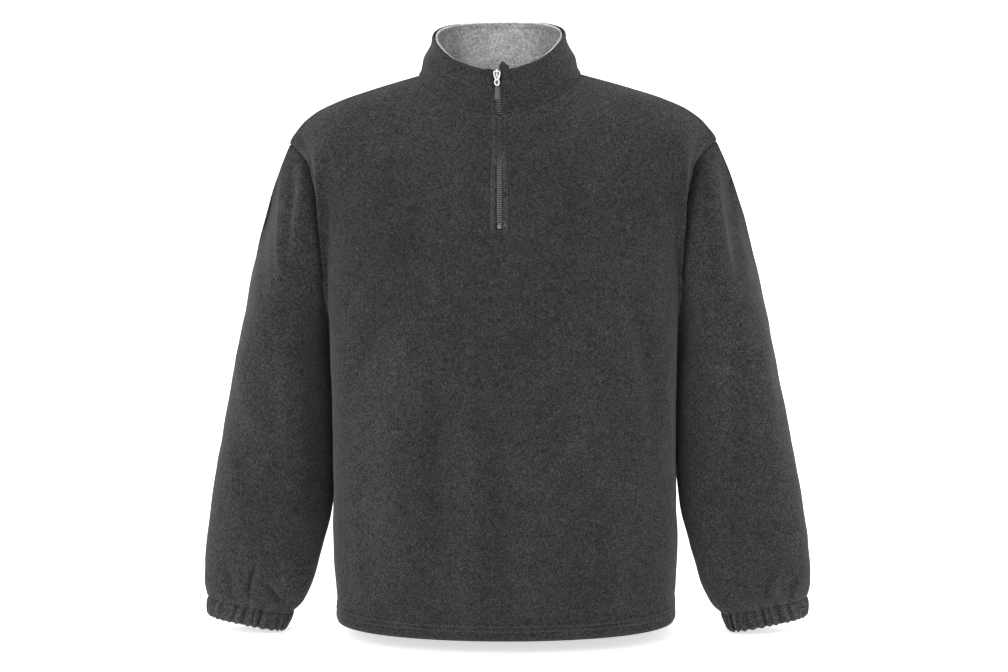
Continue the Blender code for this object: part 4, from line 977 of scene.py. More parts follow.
def cuff_form(share, part):
    """The sleeve's last section carried down its own slant, a little narrower at the bottom."""
    top = sleeve_section(share, np.ones_like(share))
    middle = (top.min((0, 1)) + top.max((0, 1))) / 2
    tilt = math.radians(SLEEVE["tilt"][-1])
    down = np.array([math.sin(tilt), 0.0, -math.cos(tilt)])
    part = part[..., None]
    return middle + down * CUFF_HEIGHT * part + (top - middle) * (1 - (1 - CUFF_NARROWER) * part**2)


def lay_cuff(side, double_wall):
    """An elastic casing: puffed between its uneven gathers, drawn in at the seam and the edge."""
    share = np.linspace(0, 1, CUFF_COLUMNS + 1)
    part = spread(CUFF_STOPS, CUFF_STEPS)[::-1]
    grid = cuff_form(*np.broadcast_arrays(share[None, :], part[:, None]))
    grid[:, -1] = grid[:, 0]
    distances = from_edges(grid, True)
    normals = grid_normals(grid, True)
    wrist = normals[-1].copy()
    wrist[:, 2] = 0
    directions = turn_to_seams(normals, distances, {"top": unit(wrist)})
    puff = np.sin(math.pi * part[:, None]).clip(0) ** 0.6
    slant = CUFF_SLANT * np.sin(2 * math.pi * share * 2 + 0.7)[None, :] * part[:, None]
    turned = share[None, :] * 360 + slant - (GATHERS_TURN if side == "right" else 0.0)
    gathers = gather_relief(turned) * (0.6 + 0.8 * puff)
    fine = tucks(turned)
    relief = gathers + TUCK_DEPTH * fine + CUFF_PUFF * puff
    relief = relief * (1 - bell(distances["top"], SEAM_SHUT))
    grid[..., 2] -= TUCK_HANG * fine * part[:, None] ** 3
    # painted light and shade of the gathers and of the tucks
    shade = gather_shade(turned) + TUCK_TONE * fine
    more = {"closed": True, "side": side}
    return lay_cloth(grid, directions, distances, relief, double_wall, shade, TUBE_ENDS, **more)


def lay_collar(grid, normals, seams, wall, fold_depth):
    """The outer collar, whose top edge rolls outwards."""
    distances = from_edges(grid)
    directions = turn_to_seams(normals, distances, seams)
    in_front = ease(-grid[..., 1], 0.0, 0.03)
    folds = fold_depth * fold_relief(grid[..., 0], grid[..., 2], COLLAR_FOLDS) * in_front
    pucker = PUCKER * np.sin(grid[..., 0] * 380 + 2 * np.sin(grid[..., 0] * 90))
    pucker = pucker * bell(distances["foot"] - PUCKER_AT, PUCKER_WIDTH)
    relief = (folds + unevenness(grid) + pucker) * (1 - bell(distances["foot"], 0.004))
    beside = np.minimum(distances["first"], distances["last"])
    away_from_zip = ease(beside, *ROLL_FROM_ZIP)
    relief = relief + COLLAR_ROLL * away_from_zip * bell(distances["top"] - ROLL_AT, ROLL_WIDTH)
    puff = bell(distances["foot"] - PUFF_AT, PUFF_WIDTH) * ease(np.abs(grid[..., 0]), *PUFF_FROM)
    relief = relief + COLLAR_PUFF * puff
    relief = relief + seam_lap(distances["foot"]) + 0.7 * band_relief(beside, np.zeros((1, 1)))
    # painted highlight over the neck seam; the collar takes the panels' low tone all over
    shade = seam_highlight(distances["foot"]) + LOW_TONE
    return lay_cloth(grid, directions, distances, relief, wall, shade)


def lay_inner_collar(angles):
    """The lighter layer: it follows the outer collar from inside, stands off further over the
    zip's tapes, and rolls up over the top edge."""
    heights = spread(INNER_STOPS, INNER_STEPS)
    grid = collar_form(*np.broadcast_arrays(angles, heights[:, None]))
    grid = open_zip(grid, (-1, 0), INNER_EDGE, INNER_EDGE_MARGIN)
    normals = grid_normals(grid)
    full, none = INNER_CLEARS_ZIP
    near = 1 - ease(np.minimum(angles, 360 - angles), full, none)
    behind = INNER_BEHIND + (INNER_BEHIND_AT_ZIP - INNER_BEHIND) * near
    distances = from_edges(grid)
    furrow = STITCH_SINK * bell(distances["top"] - COLLAR_STITCH_ROW[0], STITCH_SINK_WIDTH)
    grid = grid - normals * behind[:, None]
    roll = INNER_ROLL * bell(distances["top"] - INNER_ROLL_AT, INNER_ROLL_WIDTH)
    # painted highlight along the rolled top edge
    shade = INNER_ROLL_HIGHLIGHT * bell(distances["top"], INNER_TONE_WIDTH)
    shade = shade + INNER_UNEVEN * unevenness(INNER_UNEVEN_SCALE * grid)
    # painted shade at the collar's sides, lighter behind the neck
    shade = shade + INNER_SIDES_SHADE * (0.6 - ease(np.abs(grid[..., 0]), *INNER_MIDDLE))
    # painted shade along the row of stitches
    shade = shade - INNER_LINE_SHADE * bell(distances["top"] - INNER_LINE_AT, INNER_LINE_WIDTH)
    made = lay_cloth(grid, normals, distances, 0 * furrow, INNER_WALL, shade)
    made["inner"] = made["inner"] + normals * (furrow - roll + unevenness(grid))[..., None]
    return made


# ===== meshes =====
def grid_quads(rows, columns):
    """Corners of every face between the points of a grid."""
    index = np.arange(rows * columns).reshape(rows, columns)
    return np.stack([index[:-1, :-1], index[:-1, 1:], index[1:, 1:], index[1:, :-1]], -1)


def new_object(name, data):
    """An object of that data in the scene."""
    made = bpy.data.objects.new(name, data)
    bpy.context.scene.collection.objects.link(made)
    return made


def add_mesh(name, points, faces, finish, body, sharp=None, shade=None):
    """An object at the origin from points and faces, with unused points left out. Shade is how
    much lighter or darker than its finish it is at each point."""
    used, faces = np.unique(np.asarray(faces), return_inverse=True)
    faces = faces.reshape(-1, 4)
    mesh = bpy.data.meshes.new(name)
    mesh.from_pydata(np.asarray(points)[used], [], faces)
    mesh.update()
    mesh.materials.append(finish)
    mesh.shade_smooth()
    if shade is not None:
        mesh.attributes.new("shade", "FLOAT", "POINT").data.foreach_set("value", shade[used])
    if sharp is not None:
        mesh.set_sharp_from_angle(angle=math.radians(sharp))
    made = new_object(name, mesh)
    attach(made, body)
    return made


def add_cloth(name, cut, finish):
    """A cloth piece: both skins, and a rim along every edge that only one face uses."""
    rows, columns = cut["outer"].shape[:2]
    quads = grid_quads(rows, columns)[cut["keep"]].reshape(-1, 4)
    if cut["closed"]:
        quads = np.where(quads % columns == columns - 1, quads - columns + 1, quads)
    count = rows * columns
    edges = np.concatenate([quads[:, [k, (k + 1) % 4]] for k in range(4)])
    there = edges[:, 0] * count + edges[:, 1]
    back = edges[:, 1] * count + edges[:, 0]
    rim = edges[~np.isin(there, back)]
    rims = np.stack([rim[:, 1], rim[:, 0], rim[:, 0] + count, rim[:, 1] + count], -1)
    points = np.concatenate([cut["outer"].reshape(-1, 3), cut["inner"].reshape(-1, 3)])
    faces = np.concatenate([quads, quads[:, ::-1] + count, rims])
    shade = np.tile(cut["shade"].reshape(-1), 2).astype(np.float32)
    return add_mesh(name, points, faces, finish, "garment", shade=shade)


def add_grids(name, grids, finish, body, sharp=None):
    """Many small closed shapes as one object. Each grid is (rows, columns, 3), its columns form
    a ring, and its first and last rows close it off."""
    points, faces, count = [], [], 0
    for grid in grids:
        rows, columns = grid.shape[:2]
        quads = grid_quads(rows, columns + 1).reshape(-1, 4)
        row, column = quads // (columns + 1), quads % (columns + 1) % columns
        faces.append(row * columns + column + count)
        points.append(grid.reshape(-1, 3))
        count += rows * columns
    return add_mesh(name, np.concatenate(points), np.concatenate(faces), finish, body, sharp)


# ===== stitches =====
def stitch_rows(paths, length, gap, radius):
    """Short stitches laid end to end along paths of points and normals. Each is a bar of four
    sides that thins and dips at both ends, so it seems to pass through the cloth."""
    shapes = []
    stations, girth, lift = np.array(STITCH_FORM).T
    turns = np.radians((45.0, 135.0, 225.0, 315.0))
    for points, normals in paths:
        run = np.concatenate([[0], np.cumsum(np.linalg.norm(np.diff(points, axis=0), axis=1))])
        count = int(run[-1] // (length + gap))
        pitch = run[-1] / count
        at = np.arange(count)[:, None] * pitch + gap / 2 + stations * (pitch - gap)
        place = between(at, run, points)
        out = unit(between(at, run, normals))
        forward = unit(np.gradient(place, axis=1))
        across = unit(np.cross(forward, out))
        place = place + out * (radius * lift)[:, None]
        reach = radius * girth[:, None, None]
        spokes = across[:, :, None] * np.cos(turns)[:, None] + out[:, :, None] * np.sin(turns)[:, None]
        shapes.append(place[:, :, None] + spokes * reach)
    return np.concatenate(shapes)


def add_stitches(name, paths, settings, finish):
    """All stitches of some rows as one object, their ends closed."""
    bars = stitch_rows(paths, settings.length, settings.gap, settings.radius)
    count, stations = bars.shape[:2]
    index = np.arange(count * stations * 4).reshape(count, stations, 4)
    after = np.roll(index, -1, axis=2)
    sides = np.stack([index[:, :-1], index[:, 1:], after[:, 1:], after[:, :-1]], -1)
    caps = np.concatenate([index[:, 0], index[:, -1, ::-1]])
    faces = np.concatenate([sides.reshape(-1, 4), caps])
    return add_mesh(name, bars.reshape(-1, 3), faces, finish, "garment")


def path_on(cut, edge, distance, start=0.0, end=1.0, samples=600):
    """Points and normals on a piece's outer skin at a distance from one of its edges, from the
    start share to the end share of that edge."""
    across = edge in ("foot", "top")
    grid, normals, away = cut["outer"], cut["normals"], cut["distances"][edge]
    if not across:
        grid, normals, away = (np.swapaxes(array, 0, 1) for array in (grid, normals, away))
    if away[0].mean() > away[-1].mean():
        rows = len(away) - 1 - row_at(away[::-1], distance)
    else:
        rows = row_at(away, distance)
    columns = np.linspace(start, end, samples) * (grid.shape[1] - 1)
    rows = np.interp(columns, np.arange(grid.shape[1]), rows)
    return read(grid, rows, columns), unit(read(normals, rows, columns))


# ===== finishes =====
class Nodes:
    """A material's node tree, with one short call for each kind of node that is used here."""

    def __init__(self, name, colour, roughness, metallic=0.0):
        """A new material whose shader has that colour, roughness and metal."""
        self.material = bpy.data.materials.new(name)
        self.material.use_nodes = True
        self.tree = self.material.node_tree
        self.shader = self.tree.nodes["Principled BSDF"]
        self.to_shader({"Base Color": colour, "Roughness": roughness, "Metallic": metallic})
        self.place = self.add("TexCoord", {}, "Object")

    def feed(self, socket, value):
        """Links another node's output to the socket, or sets a number or a colour on it."""
        if isinstance(value, bpy.types.NodeSocket):
            self.tree.links.new(value, socket)
        else:
            socket.default_value = (*value, 1.0) if isinstance(value, tuple) else value

    def to_shader(self, values):
        """Feeds each named input of the shader."""
        for name, value in values.items():
            self.feed(self.shader.inputs[name], value)

    def add(self, kind, values, output, **options):
        """A new node with its options and inputs; gives the output of that name."""
        node = self.tree.nodes.new("ShaderNode" + kind)
        for option, value in options.items():
            setattr(node, option, value)
        for name, value in values.items():
            self.feed(node.inputs[name], value)
        return node.outputs[output]

    def noise(self, scale, detail=3.0, roughness=0.5, distortion=0.0):
        """Fractal noise over the object's own coordinates."""
        values = {"Scale": scale, "Detail": detail, "Roughness": roughness, "Distortion": distortion}
        return self.add("TexNoise", {**values, "Vector": self.place}, "Fac")

    def math(self, operation, first, second):
        """One sum, product or the like of two values."""
        return self.add("Math", {0: first, 1: second}, "Value", operation=operation)

    def remap(self, value, low, high, to_low=0.0, to_high=1.0):
        """A range of values carried straight onto another range, and held at its ends."""
        limits = {"From Min": low, "From Max": high, "To Min": to_low, "To Max": to_high}
        return self.add("MapRange", {"Value": value, **limits}, "Result")

    def blend(self, share, low, high):
        """A colour between two others."""
        return self.add("Mix", {"Factor": share, "A": low, "B": high}, "Result", data_type="RGBA")

    def bump(self, height, distance, strength=1.0):
        """Fine relief on the shader's normal."""
        values = {"Distance": distance, "Strength": strength, "Height": height}
        self.to_shader({"Normal": self.add("Bump", values, "Normal")})


def times(colour, factor):
    """A colour made lighter or darker by a factor, no part of it above 1."""
    return tuple(min(factor * part, 1.0) for part in colour)


def fleece(name, dark, middle, light, pile):
    """Brushed heather pile: tufts of uneven tone with curled light fibres lying on top. The
    cloth's shade attribute adds painted highlights and painted shade, and some tone of its own."""
    nodes = Nodes(name, middle, 0.96)
    nodes.to_shader({"Specular IOR Level": 0.10, "Sheen Weight": 0.16, "Sheen Roughness": 0.50})
    nodes.to_shader({"Sheen Tint": (0.75, 0.77, 0.80)})
    cloud = nodes.noise(34.0, 3.0, 0.6)
    tuft = nodes.noise(240.0, 4.0, 0.75, 1.0)
    curl = nodes.noise(120.0, 2.0, 0.5, 2.6)
    strand = nodes.noise(230.0, 1.0, 0.5, 1.8)
    fine = nodes.noise(700.0, 2.0, 0.6, 0.6)
    lines = []
    for field, half_width in ((curl, 0.042), (strand, 0.040)):
        off = nodes.math("ABSOLUTE", nodes.math("SUBTRACT", field, 0.5), 0.0)
        lines.append(nodes.remap(off, 0.0, half_width, 1.0, 0.0))
    fibre = nodes.math("MAXIMUM", *lines)
    fibre = nodes.math("MULTIPLY", fibre, nodes.remap(fine, 0.38, 0.54))
    ground = nodes.blend(nodes.remap(tuft, 0.40, 0.62), dark, middle)
    colour = nodes.blend(nodes.math("MULTIPLY", fibre, 0.85), ground, light)
    # the cloth's shade attribute: painted highlights and painted shade, with some tone of its own
    own = nodes.add("Attribute", {}, "Fac", attribute_name="shade")
    drift = nodes.remap(nodes.noise(9.0, 2.0, 0.5), 0.3, 0.7, -0.07, 0.07)
    factor = nodes.math("ADD", nodes.remap(cloud, 0.3, 0.7, 0.90, 1.10), own)
    factor = nodes.math("ADD", factor, drift)
    toned = nodes.add("VectorMath", {0: colour, "Scale": factor}, "Vector", operation="SCALE")
    nodes.to_shader({"Base Color": toned})
    nap = nodes.math("ADD", nodes.math("MULTIPLY", tuft, 0.9), nodes.math("MULTIPLY", fibre, 0.35))
    nodes.bump(nodes.math("ADD", nap, nodes.math("MULTIPLY", fine, 0.30)), pile, 0.9)
    return nodes.material


def thread(name, colour):
    """Spun thread: a fine twist of tone."""
    nodes = Nodes(name, colour, 0.75)
    twist = nodes.noise(2400.0, 2.0, 0.5)
    nodes.to_shader({"Base Color": nodes.blend(twist, times(colour, 0.6), colour)})
    nodes.bump(twist, 0.0002, 0.6)
    return nodes.material


def woven_tape(name, colour):
    """Close herringbone tape: two crossed sets of fine ribs."""
    nodes = Nodes(name, colour, 0.85)
    values = {"Scale": 380.0, "Distortion": 0.4, "Vector": nodes.place}
    bands = [nodes.add("TexWave", values, "Fac", bands_direction=way) for way in ("DIAGONAL", "Z")]
    weave = nodes.math("MULTIPLY", *bands)
    nodes.to_shader({"Base Color": nodes.blend(weave, colour, times(colour, 1.9))})
    nodes.bump(weave, 0.00025, 0.8)
    return nodes.material


def moulded(name, colour, roughness):
    """Moulded plastic with a faint orange-peel skin and slightly uneven tone."""
    nodes = Nodes(name, colour, roughness)
    tone = nodes.noise(600.0, 2.0)
    rough = nodes.remap(tone, 0.3, 0.7, roughness - 0.06, roughness + 0.08)
    nodes.to_shader({"Base Color": nodes.blend(tone, colour, times(colour, 1.25)), "Roughness": rough})
    nodes.bump(nodes.noise(1500.0, 2.0), 0.00006, 0.5)
    return nodes.material


def plated_metal(name, colour):
    """Plated die-cast metal: bright, with fine handling marks and duller hollows."""
    nodes = Nodes(name, colour, 0.26, 1.0)
    marks = nodes.noise(900.0, 4.0, 0.7, 2.0)
    rough = nodes.remap(marks, 0.35, 0.65, 0.18, 0.38)
    nodes.to_shader({"Base Color": nodes.blend(marks, times(colour, 0.78), colour), "Roughness": rough})
    nodes.bump(marks, 0.00004, 0.5)
    return nodes.material


def studio_paper(name, colour, glow):
    """Matt seamless paper with a hardly visible grain, lit a little from behind."""
    nodes = Nodes(name, colour, 0.9)
    grain = nodes.blend(nodes.noise(40.0, 2.0), times(colour, 0.985), colour)
    nodes.to_shader({"Base Color": grain, "Specular IOR Level": 0.1})
    nodes.to_shader({"Emission Color": (1.0, 1.0, 1.0), "Emission Strength": glow})
    return nodes.material


def finish(name, maker, *values):
    """The material of that name, made on first use and shared by every piece after that."""
    return bpy.data.materials.get(name) or maker(name, *values)


# ===== zip =====
def centre_cloth(across, place):
    """The form of the cloth over the zip, at a distance across from its middle. Place is the
    panel's rise up to 1, and beyond that 1 plus the collar's height."""
    across, place = np.broadcast_arrays(np.asarray(across, float), np.asarray(place, float))

    def ground(share):
        """Panel below the neckline and collar above it, at that share of the columns."""
        low = upper_panel(share, np.minimum(place, 1), True)
        angle = np.degrees(np.arcsin(np.clip(share / NECK_SHARE, -1, 1))) % 360
        high = collar_form(angle, np.maximum(place - 1, 0))
        return np.where((place < 1)[..., None], low, high)

    probe = np.full(across.shape, PROBE)
    slope = (ground(probe)[..., 0] - ground(-probe)[..., 0]) / (2 * PROBE)
    return ground(across / slope)


def zip_places(slit, on_panel, on_collar):
    """Places up the zip from its lower end: evenly on the panel, then evenly on the collar."""
    return np.concatenate([np.linspace(slit, 1, on_panel, endpoint=False), np.linspace(1, 2, on_collar)])


@functools.lru_cache(maxsize=1)
def zip_line():
    """Stations up the middle of the zip: place, distance travelled, points and directions."""
    slit = panel_rows()[3]
    place = zip_places(slit, *ZIP_SAMPLES)
    strip = centre_cloth(np.array([[-0.003, 0.0, 0.003]]), place[:, None])
    return place, travelled(strip, 0)[:, 1], strip[:, 1], grid_normals(strip)[:, 1]


def along_zip(distance):
    """Point, up and outward directions at a distance from the zip's lower end."""
    _, run, points, normals = zip_line()
    at = np.asarray(distance, float)
    point = between(at, run, points)
    out = unit(between(at, run, normals))
    return point, unit(np.cross(out, ACROSS)), out


def slider_distance():
    """How far up the zip the slider's middle stands: most of the way up the collar."""
    place, run = zip_line()[:2]
    seam = np.interp(1.0, place, run)
    return seam + SLIDER_HEIGHT * (run[-1] - seam)


def tape_cut(side):
    """One tape. The right one ends in a folded corner that stands above the collar."""
    slit = panel_rows()[3]
    place = zip_places(slit, *TAPE_ROWS)
    columns = np.linspace(TAPE_FROM, TAPE_TO, TAPE_COLUMNS) * side
    columns = columns if side > 0 else columns[::-1]
    grid = centre_cloth(columns[None, :], place[:, None])
    normals = grid_normals(grid)
    if side > 0:
        across = np.abs(columns)
        slopes = np.where(across < TAPE_PEAK_AT, *TAPE_SLOPES)
        peak = TAPE_PEAK - np.abs(across - TAPE_PEAK_AT) * slopes
        part = np.linspace(0, 1, TAPE_PEAK_ROWS + 1)[1:, None]
        rise = part * peak[None, :]
        up = unit(grid[-1] - grid[-2])
        lean = normals[-1] * TAPE_LEAN * part[..., None]
        grid = np.concatenate([grid, grid[-1] + up * rise[..., None] + lean])
        normals = np.concatenate([normals, np.repeat(normals[-1:], TAPE_PEAK_ROWS, 0)])
    distances = from_edges(grid)
    grid = grid - normals * TAPE_BEHIND
    cord = TAPE_CORD * bell(distances["first" if side > 0 else "last"], TAPE_CORD)
    outer = grid + normals * cord[..., None]
    inner = grid - normals * (TAPE_THICK + cord)[..., None]
    return piece(outer, inner, distances, normals)


def pebble(half_sizes, power, rows, columns):
    """A squared ball: each coordinate a power of the ball's own, with its poles closed."""
    lift = np.linspace(-math.pi / 2, math.pi / 2, rows)[:, None]
    turn = full_turn(columns)[None, :]
    flat = signed_power(np.cos(lift), power)
    x = flat * signed_power(np.cos(turn), power)
    y = flat * signed_power(np.sin(turn), power)
    z = signed_power(np.sin(lift), power) + 0 * turn
    return np.stack([x, y, z], -1) * half_sizes


def tooth_grids(start, end):
    """The zip's moulded teeth, from left and right by turns, each tapering towards its tip."""
    count = int((end - start) // TOOTH_PITCH)
    point, up, out = along_zip(start + (np.arange(count) + 0.5) * TOOTH_PITCH)
    side = np.where(np.arange(count) % 2 == 0, 1.0, -1.0)
    reach = (TOOTH_ROOT - TOOTH_TIP) / 2
    middle = (TOOTH_ROOT + TOOTH_TIP) / 2
    form = pebble((reach, TOOTH_TALL, TOOTH_DEEP), TOOTH_ROUND, 7, 10)
    form[..., 1] *= 1 + TOOTH_FLARE * form[..., 0] / reach
    x = form[None, ..., 0] * side[:, None, None] + (middle * side)[:, None, None]
    y = form[None, ..., 1] * side[:, None, None]
    centre = point - out * (TOOTH_BEHIND + TOOTH_DEEP)
    return (
        centre[:, None, None]
        + x[..., None] * ACROSS
        + y[..., None] * up[:, None, None]
        + form[None, ..., 2, None] * out[:, None, None]
    )


def rail_grids(start, end):
    """The moulded foot of the teeth along each tape: two wires that follow the zip."""
    point, _, out = along_zip(np.linspace(start, end, 120))
    behind = point - out * (TOOTH_BEHIND + TOOTH_DEEP)
    return [wire_grid(behind + side * RAIL_AT * ACROSS, ACROSS, RAIL_RADIUS, 8) for side in (-1, 1)]


def outline_loop(table, count, squareness=0.5):
    """A closed outline from half widths going up: round at both ends, by sines and cosines whose
    powers square it off. In across and up."""
    turn = full_turn(count)
    low, high = table["up"][0], table["up"][-1]
    up = (low + high) / 2 + (high - low) / 2 * signed_power(np.sin(turn), squareness)
    half = smooth(table, "up", "half", up)
    return np.stack([half * signed_power(np.cos(turn), squareness), up], -1)


def plate_grid(loop, low, high, rounding, crown=0.0):
    """A plate with that outline and rounded edges: rings that shrink towards its middle line on
    both faces, with a crown that lifts the outer face. In across, up and out."""
    step = (np.roll(loop, -1, 0) - np.roll(loop, 1, 0)) / 2
    inward = unit(np.stack([-step[:, 1], step[:, 0]], -1))
    flat = loop + inward * rounding
    corner = [
        (loop + inward * rounding * (1 - math.cos(turn)), rounding * (1 - math.sin(turn)))
        for turn in np.radians((60.0, 30.0, 0.0))
    ]
    rings = [(flat * (share, 1.0), low) for share in (0.0, 0.5, 1.0)]
    rings += [(ring, low + inset) for ring, inset in corner]
    rings += [(ring, high - inset) for ring, inset in corner[::-1]]
    rings += [(flat * (share, 1.0), high + crown * (1 - share**2)) for share in (1.0, 0.5, 0.0)]
    return np.stack([np.concatenate([ring, np.full((len(ring), 1), out)], 1) for ring, out in rings])


def band_grid(inner, outer, half_thick, steps=12):
    """A flat ring between two loops of as many points, its section a squared round."""
    turn = full_turn(steps)
    middle, half = (inner + outer) / 2, (outer - inner) / 2
    across = signed_power(np.cos(turn), 0.7)[:, None, None]
    flat = middle[None] + half[None] * across
    out = half_thick * signed_power(np.sin(turn), 0.7)[:, None, None]
    out = np.broadcast_to(out, (*flat.shape[:2], 1))
    grid = np.concatenate([flat, out], -1)
    return np.concatenate([grid, grid[:1]], 0)


def wire_grid(path, side, radius, columns=10):
    """A round wire along a path that lies in the plane square to side, its ends closed."""
    forward = unit(np.gradient(path, axis=0))
    up = unit(np.cross(forward, side))
    turn = full_turn(columns)
    girth = radius * np.concatenate([[0.0], np.ones(len(path) - 2), [0.0]])
    spokes = up[:, None] * np.cos(turn)[:, None] + np.asarray(side) * np.sin(turn)[:, None]
    return path[:, None] + spokes * girth[:, None, None]


def placed(grid, origin, axes):
    """A grid in across, up and out, set at its origin along its three axes."""
    return origin + grid @ np.asarray(axes)


def slider_grids(origin, axes):
    """Plates with the post between them, in one group; the arched bail and the cast ridge, in another."""
    loop = outline_loop(PLATE_OUTLINE, 48)
    front = plate_grid(loop, *FRONT_PLATE, PLATE_ROUND)
    back = plate_grid(loop, *BACK_PLATE, BACK_ROUND)
    post_loop = outline_loop({"up": (POST_FROM, POST_TO), "half": (POST_HALF, POST_HALF)}, 24, 0.8)
    post = plate_grid(post_loop, BACK_PLATE[1] - OVERLAP, FRONT_PLATE[0] + OVERLAP, POST_ROUND)
    turns = np.linspace(0, math.pi, 18)
    arch = np.stack([0 * turns, BAIL_RADIUS * np.cos(turns), BAIL_RADIUS * np.sin(turns)], -1)
    foot = np.array([0.0, 0.0, -HINGE_OUT + FRONT_PLATE[1]])
    arch = np.concatenate([[arch[0] + foot], arch, [arch[-1] + foot]]) + (0.0, 0.0, HINGE_OUT)
    bails = [wire_grid(arch + shift * ACROSS, ACROSS, BAIL_WIRE) for shift in BAIL_SHIFTS]
    ridge = outline_loop(RIDGE_LOOP, 24, 0.7)
    ridge = plate_grid(ridge, FRONT_PLATE[1] - 0.0002, RIDGE_TOP, RIDGE_ROUND)
    groups = ((front, back, post), [*bails, ridge])
    return [[placed(grid, origin, axes) for grid in group] for group in groups]


def stirrup_grids(hinge, axes):
    """The flat stirrup: one ring round its tall opening and one round the eye below."""
    outer, inner = outline_loop(STIRRUP_OUTER, 48, 0.7), outline_loop(STIRRUP_INNER, 48, 0.7)
    turn = full_turn(32)
    ring = np.stack([np.cos(turn), np.sin(turn)], -1)
    centre = np.array([0.0, -EYE_DOWN])
    window = band_grid(inner, outer, STIRRUP_THICK / 2)
    eye = band_grid(centre + ring * EYE_INNER, centre + ring * EYE_OUTER, STIRRUP_THICK / 2)
    return [placed(grid, hinge, axes) for grid in (window, eye)]


# ===== what a user would change =====
def number(name, description, default, **kind):
    """A number that can be changed in the panel."""
    return bpy.props.FloatProperty(name=name, description=description, default=default, **kind)


def tint(name, description, default):
    """A colour that can be changed in the panel."""
    return bpy.props.FloatVectorProperty(
        name=name, description=description, default=default, subtype="COLOR"
    )


class FleeceSettings(bpy.types.PropertyGroup):
    """Cloth thicknesses, folds and colours."""

    wall: number("Cloth", "Thickness of one layer of fleece", 0.0024, unit="LENGTH")
    double_wall: number("Turned cloth", "Thickness of the hem and the cuffs", 0.0044, unit="LENGTH")
    fold_depth: number("Folds", "Depth of the folds, 1 as worn", 1.0, subtype="FACTOR")
    pile: number("Pile", "Depth of the brushed pile", 0.0011, unit="LENGTH")
    dark: tint("Hollows", "Colour between the tufts", (0.0080, 0.0081, 0.0087))
    middle: tint("Tufts", "Colour of the tufts", (0.0240, 0.0242, 0.0256))
    light: tint("Fibres", "Colour of the light heather fibres", (0.092, 0.093, 0.098))
    inner_dark: tint("Inner hollows", "Darker tone inside the collar", (0.17, 0.172, 0.178))
    inner_middle: tint("Inner tufts", "Main tone inside the collar", (0.360, 0.363, 0.372))
    inner_light: tint("Inner fibres", "Light fibres inside the collar", (0.62, 0.622, 0.63))


class StitchSettings(bpy.types.PropertyGroup):
    """Sizes and colour of the stitches."""

    length: number("Length", "Length of a stitch", 0.0031, unit="LENGTH")
    gap: number("Gap", "Gap between stitches", 0.0007, unit="LENGTH")
    radius: number("Thread", "Radius of the thread", 0.00032, unit="LENGTH")
    colour: tint("Colour", "Colour of the thread", (0.085, 0.086, 0.09))


class ZipSettings(bpy.types.PropertyGroup):
    """Colours of the zip."""

    tape: tint("Tape", "Colour of the tapes", (0.014, 0.014, 0.015))
    teeth: tint("Teeth", "Colour of the teeth", (0.115, 0.115, 0.120))
    metal: tint("Slider", "Colour of the slider", (0.86, 0.86, 0.87))
    # a darker copy of the slider's metal on its plates: painted shade between plates and stirrup
    shaded_metal: tint("Slider body", "Colour of the slider's plates", (0.16, 0.16, 0.17))
    tab: tint("Tab", "Colour of the pull's moulded tab", (0.050, 0.050, 0.054))


class StageSettings(bpy.types.PropertyGroup):
    """Camera and light."""

    azimuth: number(
        "Azimuth", "Camera's turn to the right of the front", math.radians(2.2), subtype="ANGLE"
    )
    elevation: number("Elevation", "Camera's height above level", math.radians(7.3), subtype="ANGLE")
    roll: number("Roll", "Camera's tilt about its view", math.radians(-0.5), subtype="ANGLE")
    distance: number("Distance", "From the camera to the garment's middle", 2.4, unit="LENGTH")
    lens: number("Lens", "Focal length in millimetres", 66.65)
    sky: number("Sky", "Strength of the even light", 1.0)
    key: number("Key", "Watts of the key light", 29.0)
    glow: number("Glow", "Light through the paper", 0.60)
    paper: tint("Paper", "Colour of floor and backdrop", (0.93, 0.93, 0.93))


class PulloverSettings(bpy.types.PropertyGroup):
    """All settings of the pullover, by part."""

    fleece: bpy.props.PointerProperty(type=FleeceSettings)
    stitch: bpy.props.PointerProperty(type=StitchSettings)
    zip: bpy.props.PointerProperty(type=ZipSettings)
    stage: bpy.props.PointerProperty(type=StageSettings)


# ===== operators =====
def cloth_now():
    """The cut cloth for the present settings."""
    fleece_now = bpy.context.scene.pullover.fleece
    return cut_cloth(fleece_now.wall, fleece_now.double_wall, fleece_now.fold_depth)


def fleece_finish(name, prefix, depth):
    """One of the two fleeces, in its own three tones, its pile a share of the set depth."""
    now = bpy.context.scene.pullover.fleece
    tones = (tuple(getattr(now, prefix + tone)) for tone in ("dark", "middle", "light"))
    return finish(name, fleece, *tones, depth * now.pile)


def charcoal():
    """The outside of the garment."""
    return fleece_finish("charcoal_heather_fleece", "", 1.0)


def light_grey():
    """The inside of the collar."""
    return fleece_finish("light_heather_fleece", "inner_", 0.7)


class PULLOVER_OT_body(bpy.types.Operator):
    """Make the front and back panels"""

    bl_idname = "pullover.body"
    bl_label = "Front and back"

    def execute(self, context):
        """Meshes of the front and back cloth, each one sheet."""
        cut = cloth_now()
        for name, flat, area in (("front", (0.60, 0.74), 0.370), ("back", (0.60, 0.76), 0.385)):
            made = add_cloth(name + "_cloth", cut[name], charcoal())
            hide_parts(name + "_panel")
        return {"FINISHED"}


class PULLOVER_OT_sleeves(bpy.types.Operator):
    """Make both sleeves and their gathered cuffs"""

    bl_idname = "pullover.sleeves"
    bl_label = "Sleeves and cuffs"

    def execute(self, context):
        """Meshes of the sleeves and cuffs, each one sheet."""
        cut = cloth_now()
        for side in ("right", "left"):
            sleeve = add_cloth("sleeve_cloth_" + side, cut["sleeve_" + side], charcoal())
            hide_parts("sleeve_" + side)
            cuff = add_cloth("cuff_cloth_" + side, cut["cuff_" + side], charcoal())
            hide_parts("cuff_" + side)
        return {"FINISHED"}


